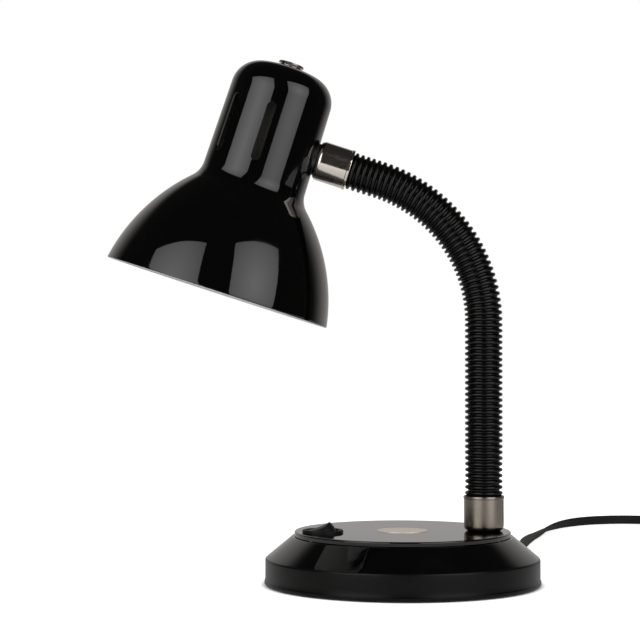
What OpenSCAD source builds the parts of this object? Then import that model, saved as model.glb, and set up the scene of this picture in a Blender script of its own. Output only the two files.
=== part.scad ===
// Desk lamp with a flexible ribbed neck on a round weighted base.
// Millimetres, +Z up. The origin is the centre of the foot pad, on the table.
// +X runs from the switch to the neck, so the neck bends in the plane Y = 0.

/* [Base] */
// Radius of the upright band of the base
band_r = 80; // [76:1:92]
// Height of the band's upper edge above the table
band_h = 15; // [13:0.5:18]
// Height of the conical skirt above the band
cone_h = 13.2; // [12:0.2:20]
// How far the skirt leans in from the band to its upper edge
skirt_in = 16; // [12:0.5:20]
// Wall of the base cover
cover_wall = 2.2; // [1.6:0.1:2.8]
// How far the lower lip stands out from the band
lip_out = 0.5; // [0.4:0.1:2]
// Height of the lower lip
lip_h = 2; // [1:0.25:2.5]
// How far the top plate's edge sits inside the skirt's edge
plate_setback = 1; // [0.5:0.1:2]
// Thickness of the top plate
plate_t = 2.6; // [2:0.1:4]
// Width of the ledge that carries the top plate
ledge_w = 5.5; // [4.5:0.1:6]
// Radius of the round badge plate, left bare
badge_r = 14.75; // [8:0.25:20]
// How far the badge stands above the top plate
badge_rise = 0.3; // [0.1:0.1:1]

/* [Foot and ballast] */
// Thickness of the anti-slip foot pad
pad_t = 1.2; // [1:0.1:2]
// Radius of the foot pad
pad_r = 60; // [45:1:63]
// Thickness of the bottom plate
bottom_t = 1.5; // [1:0.1:2.5]
// Thickness of the iron ballast disc
ballast_t = 12; // [8:0.5:13]
// Radius of the screw bosses inside the cover
boss_r = 4; // [3:0.25:5]

/* [Switch] */
// Distance of the switch's axis from the top plate's edge, along the lamp's middle line
switch_edge = 16.5; // [16:0.5:25]
// How far the switch stands off the middle line, towards the front
switch_off = 10; // [0:1:12]
// Radius of the round bezel
bezel_r = 11.9; // [11:0.1:12.5]
// Height of the bezel above the plate
bezel_h = 1.6; // [1.5:0.1:3]
// Tilt of the rocker to each side of level
rocker_tilt = 20; // [8:1:21]
// Height of the rocker's end corner above its pivot
rocker_rise = 7.1; // [6.5:0.1:7.5]

/* [Neck] */
// Distance of the neck's axis from the top plate's edge
neck_edge = 15.5; // [14:0.5:25]
// Length of the straight lower run, from the lower collar's lip
straight_len = 101; // [80:0.5:140]
// Radius of the first bend
bend1_r = 87; // [60:0.5:110]
// Angle of the first bend
bend1_a = 38; // [30:1:46]
// Radius of the second bend
bend2_r = 88.8; // [70:0.2:130]
// Angle of the second bend
bend2_a = 34; // [28:1:42]
// Straight run from the last joint to the upper collar's lip
tip_len = 18.1; // [14:0.1:26]
// Distance from the lower collar's lip to the first joint
end_len = 18.9; // [14:0.1:24]
// Radius over the ribs of the sleeve
crest_r = 11; // [10.2:0.1:12]
// Radius between the ribs
valley_r = 9.2; // [8.6:0.1:9.8]
// Distance from rib to rib
rib_pitch = 3.4; // [2.8:0.1:5]
// Width of a rib's crest
crest_w = 1.7; // [1:0.1:1.8]
// Outer radius of the steel core links
core_r = 6.4; // [6.2:0.1:6.6]
// Radius of the wire channel through the core
wire_bore_r = 2.5; // [2:0.1:2.8]
// Gap in the sleeve at a joint
joint_gap = 3.3; // [3.2:0.1:5]

/* [Collars] */
// Height of the lower collar cup
lower_collar_h = 20.4; // [17:0.1:26]
// Height of the upper collar cup
upper_collar_h = 20.4; // [17:0.1:26]
// Wall of the collar cups
collar_wall = 0.45; // [0.3:0.05:1]
// How far the rolled lip stands out
collar_lip = 0.35; // [0.2:0.05:1]
// Radius of the collar's rounded end
collar_round = 3; // [1.5:0.25:4]
// Outer radius of the threaded nipples
nipple_r = 5; // [4.5:0.1:5.4]

/* [Shade] */
// Outer radius of the shade's mouth
mouth_r = 67.2; // [60:0.2:80]
// Outer radius of the shade's neck above the bell
shade_neck_r = 31; // [30.6:0.1:34]
// How much the neck narrows towards the crown
neck_taper = 0.9; // [0:0.1:1]
// Height from the mouth to the crown
shade_h = 138.7; // [136:0.1:150]
// Slope of the bell at the mouth, from the shade's axis
bell_start_a = 9.5; // [4:0.5:14]
// Slope of the bell where it meets the neck
bell_end_a = 46; // [42:1:50]
// Radius of the hollow between bell and neck
bell_fillet = 13.4; // [8:0.2:16]
// Radius of the corner below the crown
crown_corner = 16; // [12:0.5:18]
// Slope of the crown where it meets the corner
crown_a = 14; // [8:1:20]
// Wall of the shade
shade_wall = 0.9; // [0.6:0.05:1.2]
// Height of the collar's axis above the mouth
attach_s = 92; // [86:0.5:94]
// Width of a vent slot
vent_w = 5.4; // [3:0.2:7]
// Length of a vent slot
vent_len = 35; // [20:1:38]
// Height of the slots' middle above the mouth
vent_s = 95.5; // [93:0.5:100]
// Angle of the nearer slots from the collar's side
vent_near_a = 93; // [85:1:110]
// Angle of the farther slots from the collar's side
vent_far_a = 141; // [135:1:160]
// Radius of the cap on the crown
cap_r = 7.6; // [7:0.1:10]

/* [Lamp holder] */
// Outer radius of the lamp holder
holder_r = 18.5; // [17:0.1:18.6]
// Height of the lamp holder
holder_h = 43.5; // [42:0.5:46]
// Outer radius of the bulb's screw cap
bulb_cap_r = 13.1; // [12.6:0.1:13.4]
// Largest radius of the bulb
bulb_r = 23; // [18:0.5:26]
// Length of the bulb from foot to tip
bulb_len = 80; // [74:1:90]

/* [Cord] */
// Width of the flat two-core cord
cord_w = 6.6; // [5.6:0.1:6.8]
// Thickness of the flat cord
cord_t = 3; // [2.4:0.1:3.2]
// Height of the cord's exit above the table
gland_z = 8.6; // [8.4:0.1:8.8]
// Angle of the cord's exit from +X
gland_a = 55; // [50:1:60]
// Length of the strain relief outside the band
gland_len = 24; // [22:0.5:26]

/* [Hidden] */
$fn = 64;
// Facets of the sleeve and the cord, and of swept leads
sleeve_sides = 10;
lead_sides = 8;
// Clearance of a running fit, of parts that must not touch, and of loose holes
run_fit = 0.05;
clear = 0.3;
loose = 0.15;
// An overlong cut passes this far beyond the faces that it opens
past = 1;

// Heights in the base
bottom_z = pad_t;
inside_z = bottom_z + bottom_t;
edge_z = pad_t / 2;
plate_z = band_h + cone_h;
plate_top = plate_z + plate_t;
cone_top_r = band_r - skirt_in;
plate_r = cone_top_r - plate_setback;
switch_x = switch_edge - plate_r;
switch_y = -switch_off;
neck_x = plate_r - neck_edge;
skirt_a = atan2(band_r - cone_top_r, cone_h);
inner_band_r = band_r - cover_wall;
inner_band_z = band_h - cover_wall * tan(skirt_a / 2);
boss_inset = 3.8;
boss_circle = inner_band_r - boss_r - boss_inset;
boss_angles = [20, 110, 200, 290];
ballast_gap = 1.5;
ballast_room = 2.5;
ballast_r = boss_circle - boss_r - ballast_gap;
screw_r = 1.5;
screw_head_r = 2.8;
screw_head_t = 0.9;
screw_len = 9;
screw_spare = 1;
plate_screw_r = 1.25;
plate_screw_head_r = 2.1;
plate_screw_head_t = 1.5;
plate_screw_angles = [90, 210, 330];
plate_screw_circle = plate_r - 2;
plate_thread = plate_t - 0.6;

// The switch, with heights counted from its pivot
body_r = bezel_r - 1.3;
pocket_r = bezel_r - 2.4;
rocker_r = pocket_r - 1.1;
pivot_drop = 3;
pivot_z = plate_top - pivot_drop;
pin_r = 1.2;
pin_skin = 0.3;
end_play = 0.2;
housing_floor = -12;
housing_bottom = -14;
rocker_low = -2.5;
rocker_corner_x = rocker_r - 1.4;
rocker_hollow_r = 22;
rocker_hollow = 1.2;
stem_r = 2.6;
stem_low = -5;
plunger_r = 1.5;
plunger_seat = 4;
plunger_tip = -6;
lever_z = -8.9;
lever_tilt = rocker_tilt / 2;
lever_pin_r = 0.9;
lever_len = 11.5;
lever_w = 4;
lever_t = 0.8;
lever_top = 1.05;
post_half = 1.4;
post_top = lever_z - 0.25;
side_x = -5.2;
side_top = lever_z - 1.05 - clear;
blade_w = 4.8;
blade_t = 0.8;
blade_low = -20;

// The neck's path: s runs along it from the lower collar's lip
neck_z0 = plate_top + lower_collar_h;
neck_turn = bend1_a + bend2_a;
arc1_len = bend1_r * bend1_a * PI / 180;
arc2_len = bend2_r * bend2_a * PI / 180;
s1 = straight_len;
s2 = s1 + arc1_len;
s3 = s2 + arc2_len;
path_len = s3 + tip_len;
function arc_end(p, r, a0, a1) = [p[0] - r * (cos(a0) - cos(a1)), p[1] + r * (sin(a1) - sin(a0))];
bend0_p = [neck_x, neck_z0 + straight_len];
bend1_p = arc_end(bend0_p, bend1_r, 0, bend1_a);
bend2_p = arc_end(bend1_p, bend2_r, bend1_a, neck_turn);
// Turn away from upright, and place in the plane Y = 0, at a distance s
function turn_at(s) =
    s <= s1 ? 0 : s <= s2 ? (s - s1) / bend1_r * 180 / PI :
    s <= s3 ? bend1_a + (s - s2) / bend2_r * 180 / PI : neck_turn;
function place_at(s) =
    s <= s1 ? [neck_x, neck_z0 + s] :
    s <= s2 ? arc_end(bend0_p, bend1_r, 0, turn_at(s)) :
    s <= s3 ? arc_end(bend1_p, bend2_r, bend1_a, turn_at(s)) :
    bend2_p + (s - s3) * [-sin(neck_turn), cos(neck_turn)];
// Eight joints: four on the straight run, two on the first bend, two on the second
link_low = (straight_len - end_len) / 3;
link_mid = arc1_len / 2;
link_top = arc2_len / 2;
joints = concat(
    [for (i = [0 : 3]) end_len + i * link_low],
    [for (i = [1, 2]) s1 + i * link_mid],
    [for (i = [1, 2]) s2 + i * link_top]);
joint_count = len(joints);
ball_r = 5;
stem_core_r = 3.6;
shoulder = 2.6;
sleeve_bore_r = 7;
rib_slope = 0.2;

// Collars and nipples
collar_in_r = crest_r + loose;
collar_r = collar_in_r + collar_wall;
collar_floor = 1;
collar_lip_h = 1.8;
nipple_bore_r = nipple_r - 1.4;
thread_len = 10;
washer_t = 1;
washer_r = nipple_r + 4;
nut_h = 4;
nut_r = nipple_r * 1.62;
nipple_tail = 2.5;
nipple_spare = 0.4;

// Shade profile: r from the axis, s up from the mouth
bell_r = (mouth_r - shade_neck_r - bell_fillet * (1 - cos(bell_end_a)))
    / (cos(bell_start_a) - cos(bell_end_a));
bell_c = [mouth_r - bell_r * cos(bell_start_a), -bell_r * sin(bell_start_a)];
fillet_c = bell_c + (bell_r + bell_fillet) * [cos(bell_end_a), sin(bell_end_a)];
neck_top_r = shade_neck_r - neck_taper;
corner_x = neck_top_r - crown_corner;
dome_r = (corner_x + crown_corner * sin(crown_a)) / sin(crown_a);
corner_s = shade_h - dome_r * (1 - cos(crown_a)) - crown_corner * cos(crown_a);
dome_s = shade_h - dome_r;
crown_hole_r = 5;
// Depth of a cut that passes through the shade's wall
wall_cut = 12;
function arc(c, r, a0, a1, n) =
    [for (i = [0 : n]) let (a = a0 + (a1 - a0) * i / n) c + r * [cos(a), sin(a)]];
// One face of the shade, w inside the outer face, from the mouth to the crown's hole
function shade_face(w, hole_r) = concat(
    arc(bell_c, bell_r - w, asin(bell_r * sin(bell_start_a) / (bell_r - w)), bell_end_a, 14),
    arc(fillet_c, -(bell_fillet + w), bell_end_a * 5 / 6, 0, 5),
    arc([corner_x, corner_s], crown_corner - w, 0, 90 - crown_a, 8),
    arc([0, dome_s], dome_r - w, 90 - crown_a * 0.75, acos(hole_r / (dome_r - w)), 3));
function reversed(v) = [for (i = [len(v) - 1 : -1 : 0]) v[i]];

// The head hangs from the neck's end: s is along the shade's axis, t along the collar's axis
attach_r = shade_neck_r - neck_taper * (attach_s - fillet_c[1]) / (corner_s - fillet_c[1]);
saddle_h = 0.5;
saddle_r = 9.5;
saddle_sag = 4;
collar_t = attach_r + saddle_h + run_fit;
head_tilt = 90 - neck_turn;
neck_end = place_at(path_len);
shade_axis_p = neck_end + (collar_t + upper_collar_h) * [-sin(neck_turn), cos(neck_turn)];
mouth_p = shade_axis_p - attach_s * [sin(head_tilt), cos(head_tilt)];
bracket_t = 1.5;
bracket_half = 7;
bracket_foot = 6;
bracket_gap = 3.2;
bracket_out_t = attach_r - shade_wall - bracket_gap;
bracket_in_t = bracket_out_t - bracket_t;
washer_in_t = bracket_in_t - run_fit - washer_t;
nipple_end_t = washer_in_t - nut_h - nipple_spare;
// Heights in the lamp holder and the bulb, above the mouth
holder_drop = 19.2;
holder_top = shade_h - holder_drop;
holder_low = holder_top - holder_h;
holder_roof = 6;
shell_wall = 0.5;
thread_gap = 0.1;
shell_in_r = bulb_cap_r + thread_gap;
shell_out_r = shell_in_r + shell_wall;
holder_screw_r = 2;
holder_thread = 5;
contact_h = 5.8;
contact_gap = 0.1;
foot_s = holder_top - holder_roof - contact_h;
foot_h = 4.2;
foot_r = 4;
cap_top = foot_s - foot_h;
cap_h = 23.5;
cap_low = cap_top - cap_h;
cap_wall = 0.4;
cap_edge = 1.5;
glass_wall = 0.8;
glass_neck_r = bulb_cap_r - cap_wall;
glass_in = 6;
bulb_tip = foot_s - bulb_len;
ball_s = bulb_tip + bulb_r;

// Cord: the coil's turns, and the route from the strain relief to the coil
coil_c = [240, 277];
coil_r = 38;
coil_step = cord_t + 0.55;
coil_turns = 7.125;
coil_rings = 24;
coil_start_a = 45;
coil_z = cord_w / 2 + 0.8;
coil_rise = cord_w + 0.7;
coil_lead = 6;
coil_tail = 20;
tie_t = 0.6;
tie_w = 5;
tie_a = 150;
plug_h = 14;
plug_len = 26;
plug_boot = 10;
gland_dir = [cos(gland_a), sin(gland_a)];
gland_end = (band_r + lip_out + gland_len) * gland_dir;
gland_wall_r = 4.5;
gland_flange_r = gland_wall_r + 0.8;
gland_flange_t = 2.2;
gland_tip_r = cord_w / 2 + 0.5;
cord_out = 12;
// Each point is [x, y, z, roll]: 90 stands the flat cord on its edge, 0 lays it down
cord_points = [
    [73, 105, 7.6, 90], [78.3, 118, 6.2, 90], [82, 132, 4.8, 90], [84.8, 147, 3.9, 85],
    [87.4, 163, 3.6, 72], [90.3, 180, 3.4, 58], [93.6, 197, 3.1, 43], [97.5, 214, 2.9, 28],
    [102, 231, 2.7, 14], [107, 248, 2.4, 0], [112, 265, 2.4, -14], [117.5, 281.5, 2.7, -28],
    [124.5, 297.5, 3.1, -44], [133, 313, 3.4, -60], [143, 327, 3.5, -75], [155, 338, 3.6, -86],
    [169, 345.5, 3.6, -90], [184, 348.5, 3.6, -90], [199.5, 346.5, 3.6, -90],
    [214.5, 341.5, 3.6, -90], [229, 334.5, 3.7, -90], [242, 326, 3.8, -90], [253, 317.5, 4, -90]];

// Helpers shared by several pieces

module tube(r, bore, h) {
    difference() {
        cylinder(r = r, h = h);
        translate([0, 0, -past]) cylinder(r = bore, h = h + 2 * past);
    }
}

module around(angles, radius) {
    for (a = angles) rotate([0, 0, a]) translate([radius, 0, 0]) children();
}

module at_switch() {
    translate([switch_x, switch_y, pivot_z]) children();
}

// Frame on the neck's path, with Z along the neck
module at_path(s) {
    p = place_at(s);
    translate([p[0], 0, p[1]]) rotate([0, -turn_at(s), 0]) children();
}

// Frame of the shade: Z up its axis from the mouth, X towards the collar
module at_shade() {
    translate([mouth_p[0], 0, mouth_p[1]]) rotate([0, head_tilt, 0]) children();
}

// Frame of the collar's axis in the head: Z points out from the shade's axis
module at_attach(t) {
    at_shade() translate([t, 0, attach_s]) rotate([0, 90, 0]) children();
}

// Solid rod along the neck's path from s = a to s = b
module path_rod(a, b, r) {
    shortest = 0.01;
    far = 500;
    runs = [[-far, s1, 0], [s1, s2, bend1_r], [s2, s3, bend2_r], [s3, s3 + far, 0]];
    for (run = runs) {
        lo = max(a, run[0]);
        hi = min(b, run[1]);
        if (hi - lo > shortest) {
            if (run[2] == 0) at_path(lo) cylinder(r = r, h = hi - lo);
            else at_path(lo) translate([-run[2], 0, 0]) rotate([90, 0, 0])
                rotate_extrude(angle = (hi - lo) / run[2] * 180 / PI) translate([run[2], 0]) circle(r = r);
        }
    }
}

// Closed solid through rings of equal size: with is_loop the last ring joins the first
function quads(k0, k1, n) = [for (j = [0 : n - 1]) let (a = k0 * n + j, b = k0 * n + (j + 1) % n,
    c = k1 * n + (j + 1) % n, d = k1 * n + j) each [[a, c, b], [a, d, c]]];
function fan(k, n, flip) = [for (j = [1 : n - 2]) let (a = k * n, b = k * n + j, c = k * n + j + 1)
    flip ? [a, c, b] : [a, b, c]];

module ring_solid(rings, is_loop = false) {
    n = len(rings[0]);
    m = len(rings);
    sides = [for (k = [0 : m - (is_loop ? 1 : 2)]) each quads(k, (k + 1) % m, n)];
    ends = is_loop ? [] : concat(fan(0, n, false), fan(m - 1, n, true));
    polyhedron(points = [for (ring = rings) each ring], faces = concat(sides, ends), convexity = 10);
}

// Ring of the neck's sleeve at a distance s along the path
function sleeve_ring(s, r) = let (p = place_at(s), a = turn_at(s))
    [for (j = [0 : sleeve_sides - 1]) let (q = 360 * j / sleeve_sides, x = r * cos(q))
        [p[0] + x * cos(a), r * sin(q), p[1] + x * sin(a)]];

// Rings of a flat cord: points are [x, y, z, roll], and the section stands square to the run
function unit(v) = v / norm(v);
function section(q) = let (half = (cord_w - cord_t) / 2)
    [half * sign(cos(q)) + cord_t / 2 * cos(q), cord_t / 2 * sin(q)];
function flat_ring(p, along, angles) = let (side = unit(cross([0, 0, 1], along)), up = cross(along, side))
    [for (q = angles) let (f = section(q), c = cos(p[3]), s = sin(p[3]))
        [p[0], p[1], p[2]] + (f[0] * c - f[1] * s) * side + (f[0] * s + f[1] * c) * up];
function place(p) = [p[0], p[1], p[2]];
function heading(v, i) = unit(place(v[min(i + 1, len(v) - 1)]) - place(v[max(i - 1, 0)]));

module lead(points, r) {
    rings = [for (i = [0 : len(points) - 1]) let (along = heading(points, i),
        side = unit(cross(abs(along[2]) > 0.9 ? [1, 0, 0] : [0, 0, 1], along)), up = cross(along, side))
        [for (j = [0 : lead_sides - 1]) let (q = 360 * j / lead_sides)
            place(points[i]) + r * (cos(q) * side + sin(q) * up)]];
    ring_solid(rings);
}

// Base

module cover_outline(w) {
    z_in = inner_band_z;
    top_in = plate_z - cover_wall;
    polygon(w == 0
        ? [[0, edge_z], [band_r + lip_out, edge_z], [band_r + lip_out, edge_z + lip_h],
            [band_r, edge_z + lip_h + lip_out / 2], [band_r, band_h], [cone_top_r, plate_z], [0, plate_z]]
        : [[0, edge_z - past], [inner_band_r, edge_z - past], [inner_band_r, z_in],
            [inner_band_r - (top_in - z_in) * tan(skirt_a), top_in], [0, top_in]]);
}

module base_cover() {
    color("#1d1c1b") difference() {
        union() {
            difference() {
                rotate_extrude() cover_outline(0);
                rotate_extrude() cover_outline(cover_wall);
            }
            intersection() {
                rotate_extrude() cover_outline(0);
                around(boss_angles, boss_circle)
                    translate([0, 0, inside_z]) cylinder(r = boss_r, h = plate_z);
            }
        }
        translate([0, 0, plate_z - cover_wall - past]) {
            cylinder(r = cone_top_r - ledge_w, h = cover_wall + 2 * past);
            around(plate_screw_angles, plate_screw_circle)
                cylinder(r = plate_screw_r + loose, h = cover_wall + 2 * past);
        }
        around(boss_angles, boss_circle)
            translate([0, 0, edge_z]) cylinder(r = screw_r, h = inside_z + screw_len - edge_z);
        at_gland(inner_band_r - past) cylinder(r = gland_wall_r, h = cover_wall + lip_out + 2 * past);
    }
}

module top_plate() {
    edge = 0.8;
    color("#262524") difference() {
        rotate_extrude() polygon(concat([[0, plate_z], [plate_r, plate_z]],
            arc([plate_r - edge, plate_top - edge], edge, 0, 90, 3), [[0, plate_top]]));
        translate([switch_x, switch_y, plate_z - past]) cylinder(r = body_r + loose, h = plate_t + 2 * past);
        translate([neck_x, 0, plate_z - past]) cylinder(r = nipple_r + loose, h = plate_t + 2 * past);
        translate([0, 0, plate_top - badge_rise]) cylinder(r = badge_r + loose, h = badge_rise + past);
        around(plate_screw_angles, plate_screw_circle) translate([0, 0, plate_z - past])
            cylinder(r = plate_screw_r, h = plate_thread + past);
    }
}

module plate_screws() {
    low = plate_z - cover_wall;
    color("silver") around(plate_screw_angles, plate_screw_circle) {
        translate([0, 0, low]) cylinder(r = plate_screw_r, h = cover_wall + plate_thread);
        translate([0, 0, low - plate_screw_head_t])
            cylinder(r = plate_screw_head_r, h = plate_screw_head_t);
    }
}

module badge() {
    color("#cdbf9e") translate([0, 0, plate_top - badge_rise]) cylinder(r = badge_r, h = 2 * badge_rise);
}

module ballast() {
    color("#4b4a48") difference() {
        translate([0, 0, inside_z]) cylinder(r = ballast_r, h = ballast_t);
        translate([switch_x, switch_y, inside_z - past])
            cylinder(r = body_r + ballast_room, h = ballast_t + 2 * past);
        translate([neck_x, 0, inside_z - past])
            cylinder(r = nut_r + ballast_room, h = ballast_t + 2 * past);
    }
}

module bottom_plate() {
    color("#2a2a2a") difference() {
        translate([0, 0, bottom_z]) cylinder(r = inner_band_r - clear, h = bottom_t);
        around(boss_angles, boss_circle) translate([0, 0, bottom_z - past])
            cylinder(r = screw_r + loose, h = bottom_t + 2 * past);
    }
}

module foot_pad() {
    color("#333333") cylinder(r = pad_r, h = pad_t);
}

module bottom_screws() {
    color("silver") around(boss_angles, boss_circle) {
        translate([0, 0, bottom_z]) cylinder(r = screw_r, h = bottom_t + screw_len - screw_spare);
        translate([0, 0, bottom_z - screw_head_t]) cylinder(r = screw_head_r, h = screw_head_t);
    }
}

// Switch

module switch_housing() {
    rim = pivot_drop;
    chamfer = 0.7;
    color("#181818") at_switch() difference() {
        union() {
            translate([0, 0, housing_bottom]) cylinder(r = body_r, h = rim - housing_bottom);
            translate([0, 0, rim]) cylinder(r = bezel_r, h = bezel_h - chamfer);
            translate([0, 0, rim + bezel_h - chamfer])
                cylinder(r1 = bezel_r, r2 = bezel_r - chamfer, h = chamfer);
        }
        translate([0, 0, housing_floor]) cylinder(r = pocket_r, h = rim + bezel_h - housing_floor + past);
        rotate([90, 0, 0]) cylinder(r = pin_r + run_fit, h = 2 * (body_r - pin_skin), center = true);
        for (x = [0, side_x]) translate([x - blade_t / 2, -blade_w / 2, housing_bottom - past])
            cube([blade_t, blade_w, housing_floor - housing_bottom + 2 * past]);
    }
}

module switch_terminals() {
    color("#c9a64a") at_switch() {
        difference() {
            union() {
                translate([-blade_t / 2, -blade_w / 2, blade_low])
                    cube([blade_t, blade_w, housing_floor - blade_low]);
                translate([-post_half, -blade_w / 2, housing_floor])
                    cube([2 * post_half, blade_w, post_top - housing_floor]);
            }
            translate([0, 0, lever_z]) rotate([90, 0, 0]) translate([0, 0, -blade_w])
                cylinder(r = lever_pin_r + run_fit, h = 2 * blade_w);
        }
        translate([side_x - blade_t / 2, -blade_w / 2, blade_low])
            cube([blade_t, blade_w, side_top - blade_low]);
    }
}

module switch_rocker() {
    hollow_z = rocker_rise - rocker_hollow + rocker_hollow_r;
    shoulder_z = 3.6;
    color("#141414") at_switch() rotate([0, -rocker_tilt, 0]) difference() {
        union() {
            difference() {
                rotate_extrude() polygon([[0, rocker_low], [rocker_r, rocker_low], [rocker_r, shoulder_z],
                    [rocker_corner_x, rocker_rise], [0, rocker_rise]]);
                translate([0, 0, hollow_z]) rotate([90, 0, 0])
                    cylinder(r = rocker_hollow_r, h = 4 * rocker_r, center = true, $fn = 128);
            }
            rotate([90, 0, 0]) cylinder(r = pin_r, h = 2 * (body_r - pin_skin - end_play), center = true);
            translate([0, 0, stem_low]) cylinder(r = stem_r, h = rocker_low - stem_low + past);
        }
        translate([0, 0, stem_low - past]) cylinder(r = plunger_r, h = plunger_seat + past);
    }
}

module switch_plunger() {
    color("#d8d4c8") at_switch() rotate([0, -rocker_tilt, 0]) {
        translate([0, 0, plunger_tip]) cylinder(r = plunger_r, h = stem_low + plunger_seat - plunger_tip);
        translate([0, 0, plunger_tip]) sphere(r = plunger_r);
    }
}

module switch_lever() {
    color("#c9a64a") at_switch() translate([0, 0, lever_z]) rotate([0, lever_tilt, 0]) {
        rotate([90, 0, 0]) cylinder(r = lever_pin_r, h = lever_w, center = true);
        translate([-lever_len / 2, -lever_w / 2, lever_top - lever_t]) cube([lever_len, lever_w, lever_t]);
    }
}

// Collars, nipples, washers and nuts

module collar_cup(h) {
    inner_round = collar_round - collar_floor;
    difference() {
        rotate_extrude() polygon(concat([[0, 0]],
            arc([collar_r - collar_round, collar_round], collar_round, -90, 0, 6),
            [[collar_r, h - collar_lip_h], [collar_r + collar_lip, h - collar_lip_h * 0.8],
                [collar_r + collar_lip, h - collar_lip * 0.6], [collar_r + collar_lip * 0.4, h], [0, h]]));
        rotate_extrude() polygon(concat([[0, collar_floor]],
            arc([collar_in_r - inner_round, collar_round], inner_round, -90, 0, 6),
            [[collar_in_r, h + past], [0, h + past]]));
        translate([0, 0, -past]) cylinder(r = nipple_r + loose, h = collar_floor + 2 * past);
    }
}

module lower_collar() {
    color("#b5aca0") translate([neck_x, 0, plate_top]) collar_cup(lower_collar_h);
}

module upper_collar() {
    color("#b5aca0") at_attach(collar_t) collar_cup(upper_collar_h);
}

module lower_nipple() {
    low = plate_z - washer_t - nut_h - nipple_tail;
    color("#c8b070") translate([neck_x, 0, low])
        tube(nipple_r, nipple_bore_r, plate_top + collar_floor + thread_len - low);
}

module upper_nipple() {
    color("#c8b070") at_attach(nipple_end_t)
        tube(nipple_r, nipple_bore_r, collar_t + collar_floor + thread_len - nipple_end_t);
}

module hex_nut() {
    difference() {
        cylinder(r = nut_r, h = nut_h, $fn = 6);
        translate([0, 0, -past]) cylinder(r = nipple_r, h = nut_h + 2 * past);
    }
}

module lower_washer() {
    color("silver") translate([neck_x, 0, plate_z - washer_t]) tube(washer_r, nipple_r + loose, washer_t);
}

module upper_washer() {
    color("silver") at_attach(washer_in_t) tube(washer_r - 1, nipple_r + loose, washer_t);
}

module lower_nut() {
    color("silver") translate([neck_x, 0, plate_z - washer_t - nut_h]) hex_nut();
}

module upper_nut() {
    color("silver") at_attach(washer_in_t - nut_h) hex_nut();
}

// Neck

// Outline of a ribbed run: [s, r] from rib to rib, with a crest at each end
function ribbed(a, b) = let (n = max(2, round((b - a + rib_pitch - crest_w) / rib_pitch)),
    step = (b - a - crest_w) / (n - 1))
    [for (i = [0 : n - 1]) let (s = a + i * step) each concat(
        i == 0 ? [] : [[s - rib_slope, valley_r]],
        [[s, crest_r], [s + crest_w, crest_r]],
        i == n - 1 ? [] : [[s + crest_w + rib_slope, valley_r]])];

module neck_sleeve(i) {
    is_first = i == 0;
    is_last = i == joint_count;
    low = is_first ? 0 : joints[i - 1] + joint_gap / 2;
    high = is_last ? path_len : joints[i] - joint_gap / 2;
    root = is_first ? -(lower_collar_h - collar_floor - loose) : low;
    tip = is_last ? path_len + upper_collar_h - collar_floor - loose : high;
    outline = concat(is_first ? [[root, valley_r], [low - rib_slope, valley_r]] : [], ribbed(low, high),
        is_last ? [[high + rib_slope, valley_r], [tip, valley_r]] : []);
    bore_steps = 4;
    bore = [for (k = [0 : bore_steps]) [tip + (root - tip) * k / bore_steps, sleeve_bore_r]];
    color("#161616") ring_solid([for (p = concat(outline, bore)) sleeve_ring(p[0], p[1])], true);
}

// A core link has a cup at its lower joint, a ball at its upper joint and a straight channel for the wires
module neck_link(i) {
    is_first = i == 0;
    is_last = i == joint_count;
    low = is_first ? -(lower_collar_h - collar_floor) : joints[i - 1];
    high = is_last ? path_len + upper_collar_h - collar_floor : joints[i];
    from = place_at(low);
    chord = place_at(high) - from;
    color("#8e8c88") difference() {
        union() {
            path_rod(low, is_last ? high : high - shoulder, core_r);
            if (!is_last) {
                at_path(high) translate([0, 0, -shoulder - past])
                    cylinder(r = stem_core_r, h = shoulder + past);
                at_path(high) sphere(r = ball_r);
            }
        }
        if (!is_first) at_path(low) sphere(r = ball_r + clear);
        if (is_first) at_path(low) translate([0, 0, -past]) cylinder(r = nipple_r, h = thread_len + past);
        if (is_last) at_path(high) translate([0, 0, -thread_len])
            cylinder(r = nipple_r, h = thread_len + past);
        translate([from[0], 0, from[1]]) rotate([0, atan2(chord[0], chord[1]), 0])
            translate([0, 0, -past]) cylinder(r = wire_bore_r, h = norm(chord) + ball_r + 2 * past);
    }
}

// Head

module shade_solid(w) {
    face = shade_face(w, 0.01);
    low = w > 0 ? -past : 0;
    rotate_extrude($fn = 128) polygon(concat([[0, low]], w > 0 ? [[face[0][0], low]] : [], face,
        [[0, shade_h - w]]));
}

module vent_slots() {
    for (side = [0, 1], a = [vent_near_a, vent_far_a]) mirror([0, side, 0]) rotate([0, 0, a])
        translate([neck_top_r - wall_cut / 2, 0, vent_s]) rotate([0, 90, 0])
        linear_extrude(height = wall_cut) {
            square([vent_len - vent_w, vent_w], center = true);
            for (end = [-1, 1]) translate([end * (vent_len - vent_w) / 2, 0]) circle(r = vent_w / 2);
        }
}

module shade() {
    color("#121212") at_shade() difference() {
        rotate_extrude($fn = 128) polygon(concat(shade_face(0, crown_hole_r),
            reversed(shade_face(shade_wall, crown_hole_r))));
        vent_slots();
        translate([attach_r - wall_cut / 2, 0, attach_s]) rotate([0, 90, 0])
            cylinder(r = nipple_r + run_fit, h = wall_cut);
    }
}

module outer_saddle() {
    color("#111111") difference() {
        at_attach(attach_r - saddle_sag) cylinder(r = saddle_r, h = saddle_sag + saddle_h);
        at_shade() shade_solid(0);
        at_attach(attach_r - wall_cut / 2) cylinder(r = nipple_r + run_fit, h = wall_cut);
    }
}

module inner_saddle() {
    color("#8f8f8f") difference() {
        intersection() {
            at_attach(bracket_out_t) cylinder(r = saddle_r - 1, h = wall_cut / 2);
            at_shade() shade_solid(shade_wall);
        }
        at_attach(bracket_out_t - past) cylinder(r = nipple_r + run_fit, h = wall_cut);
    }
}

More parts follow.
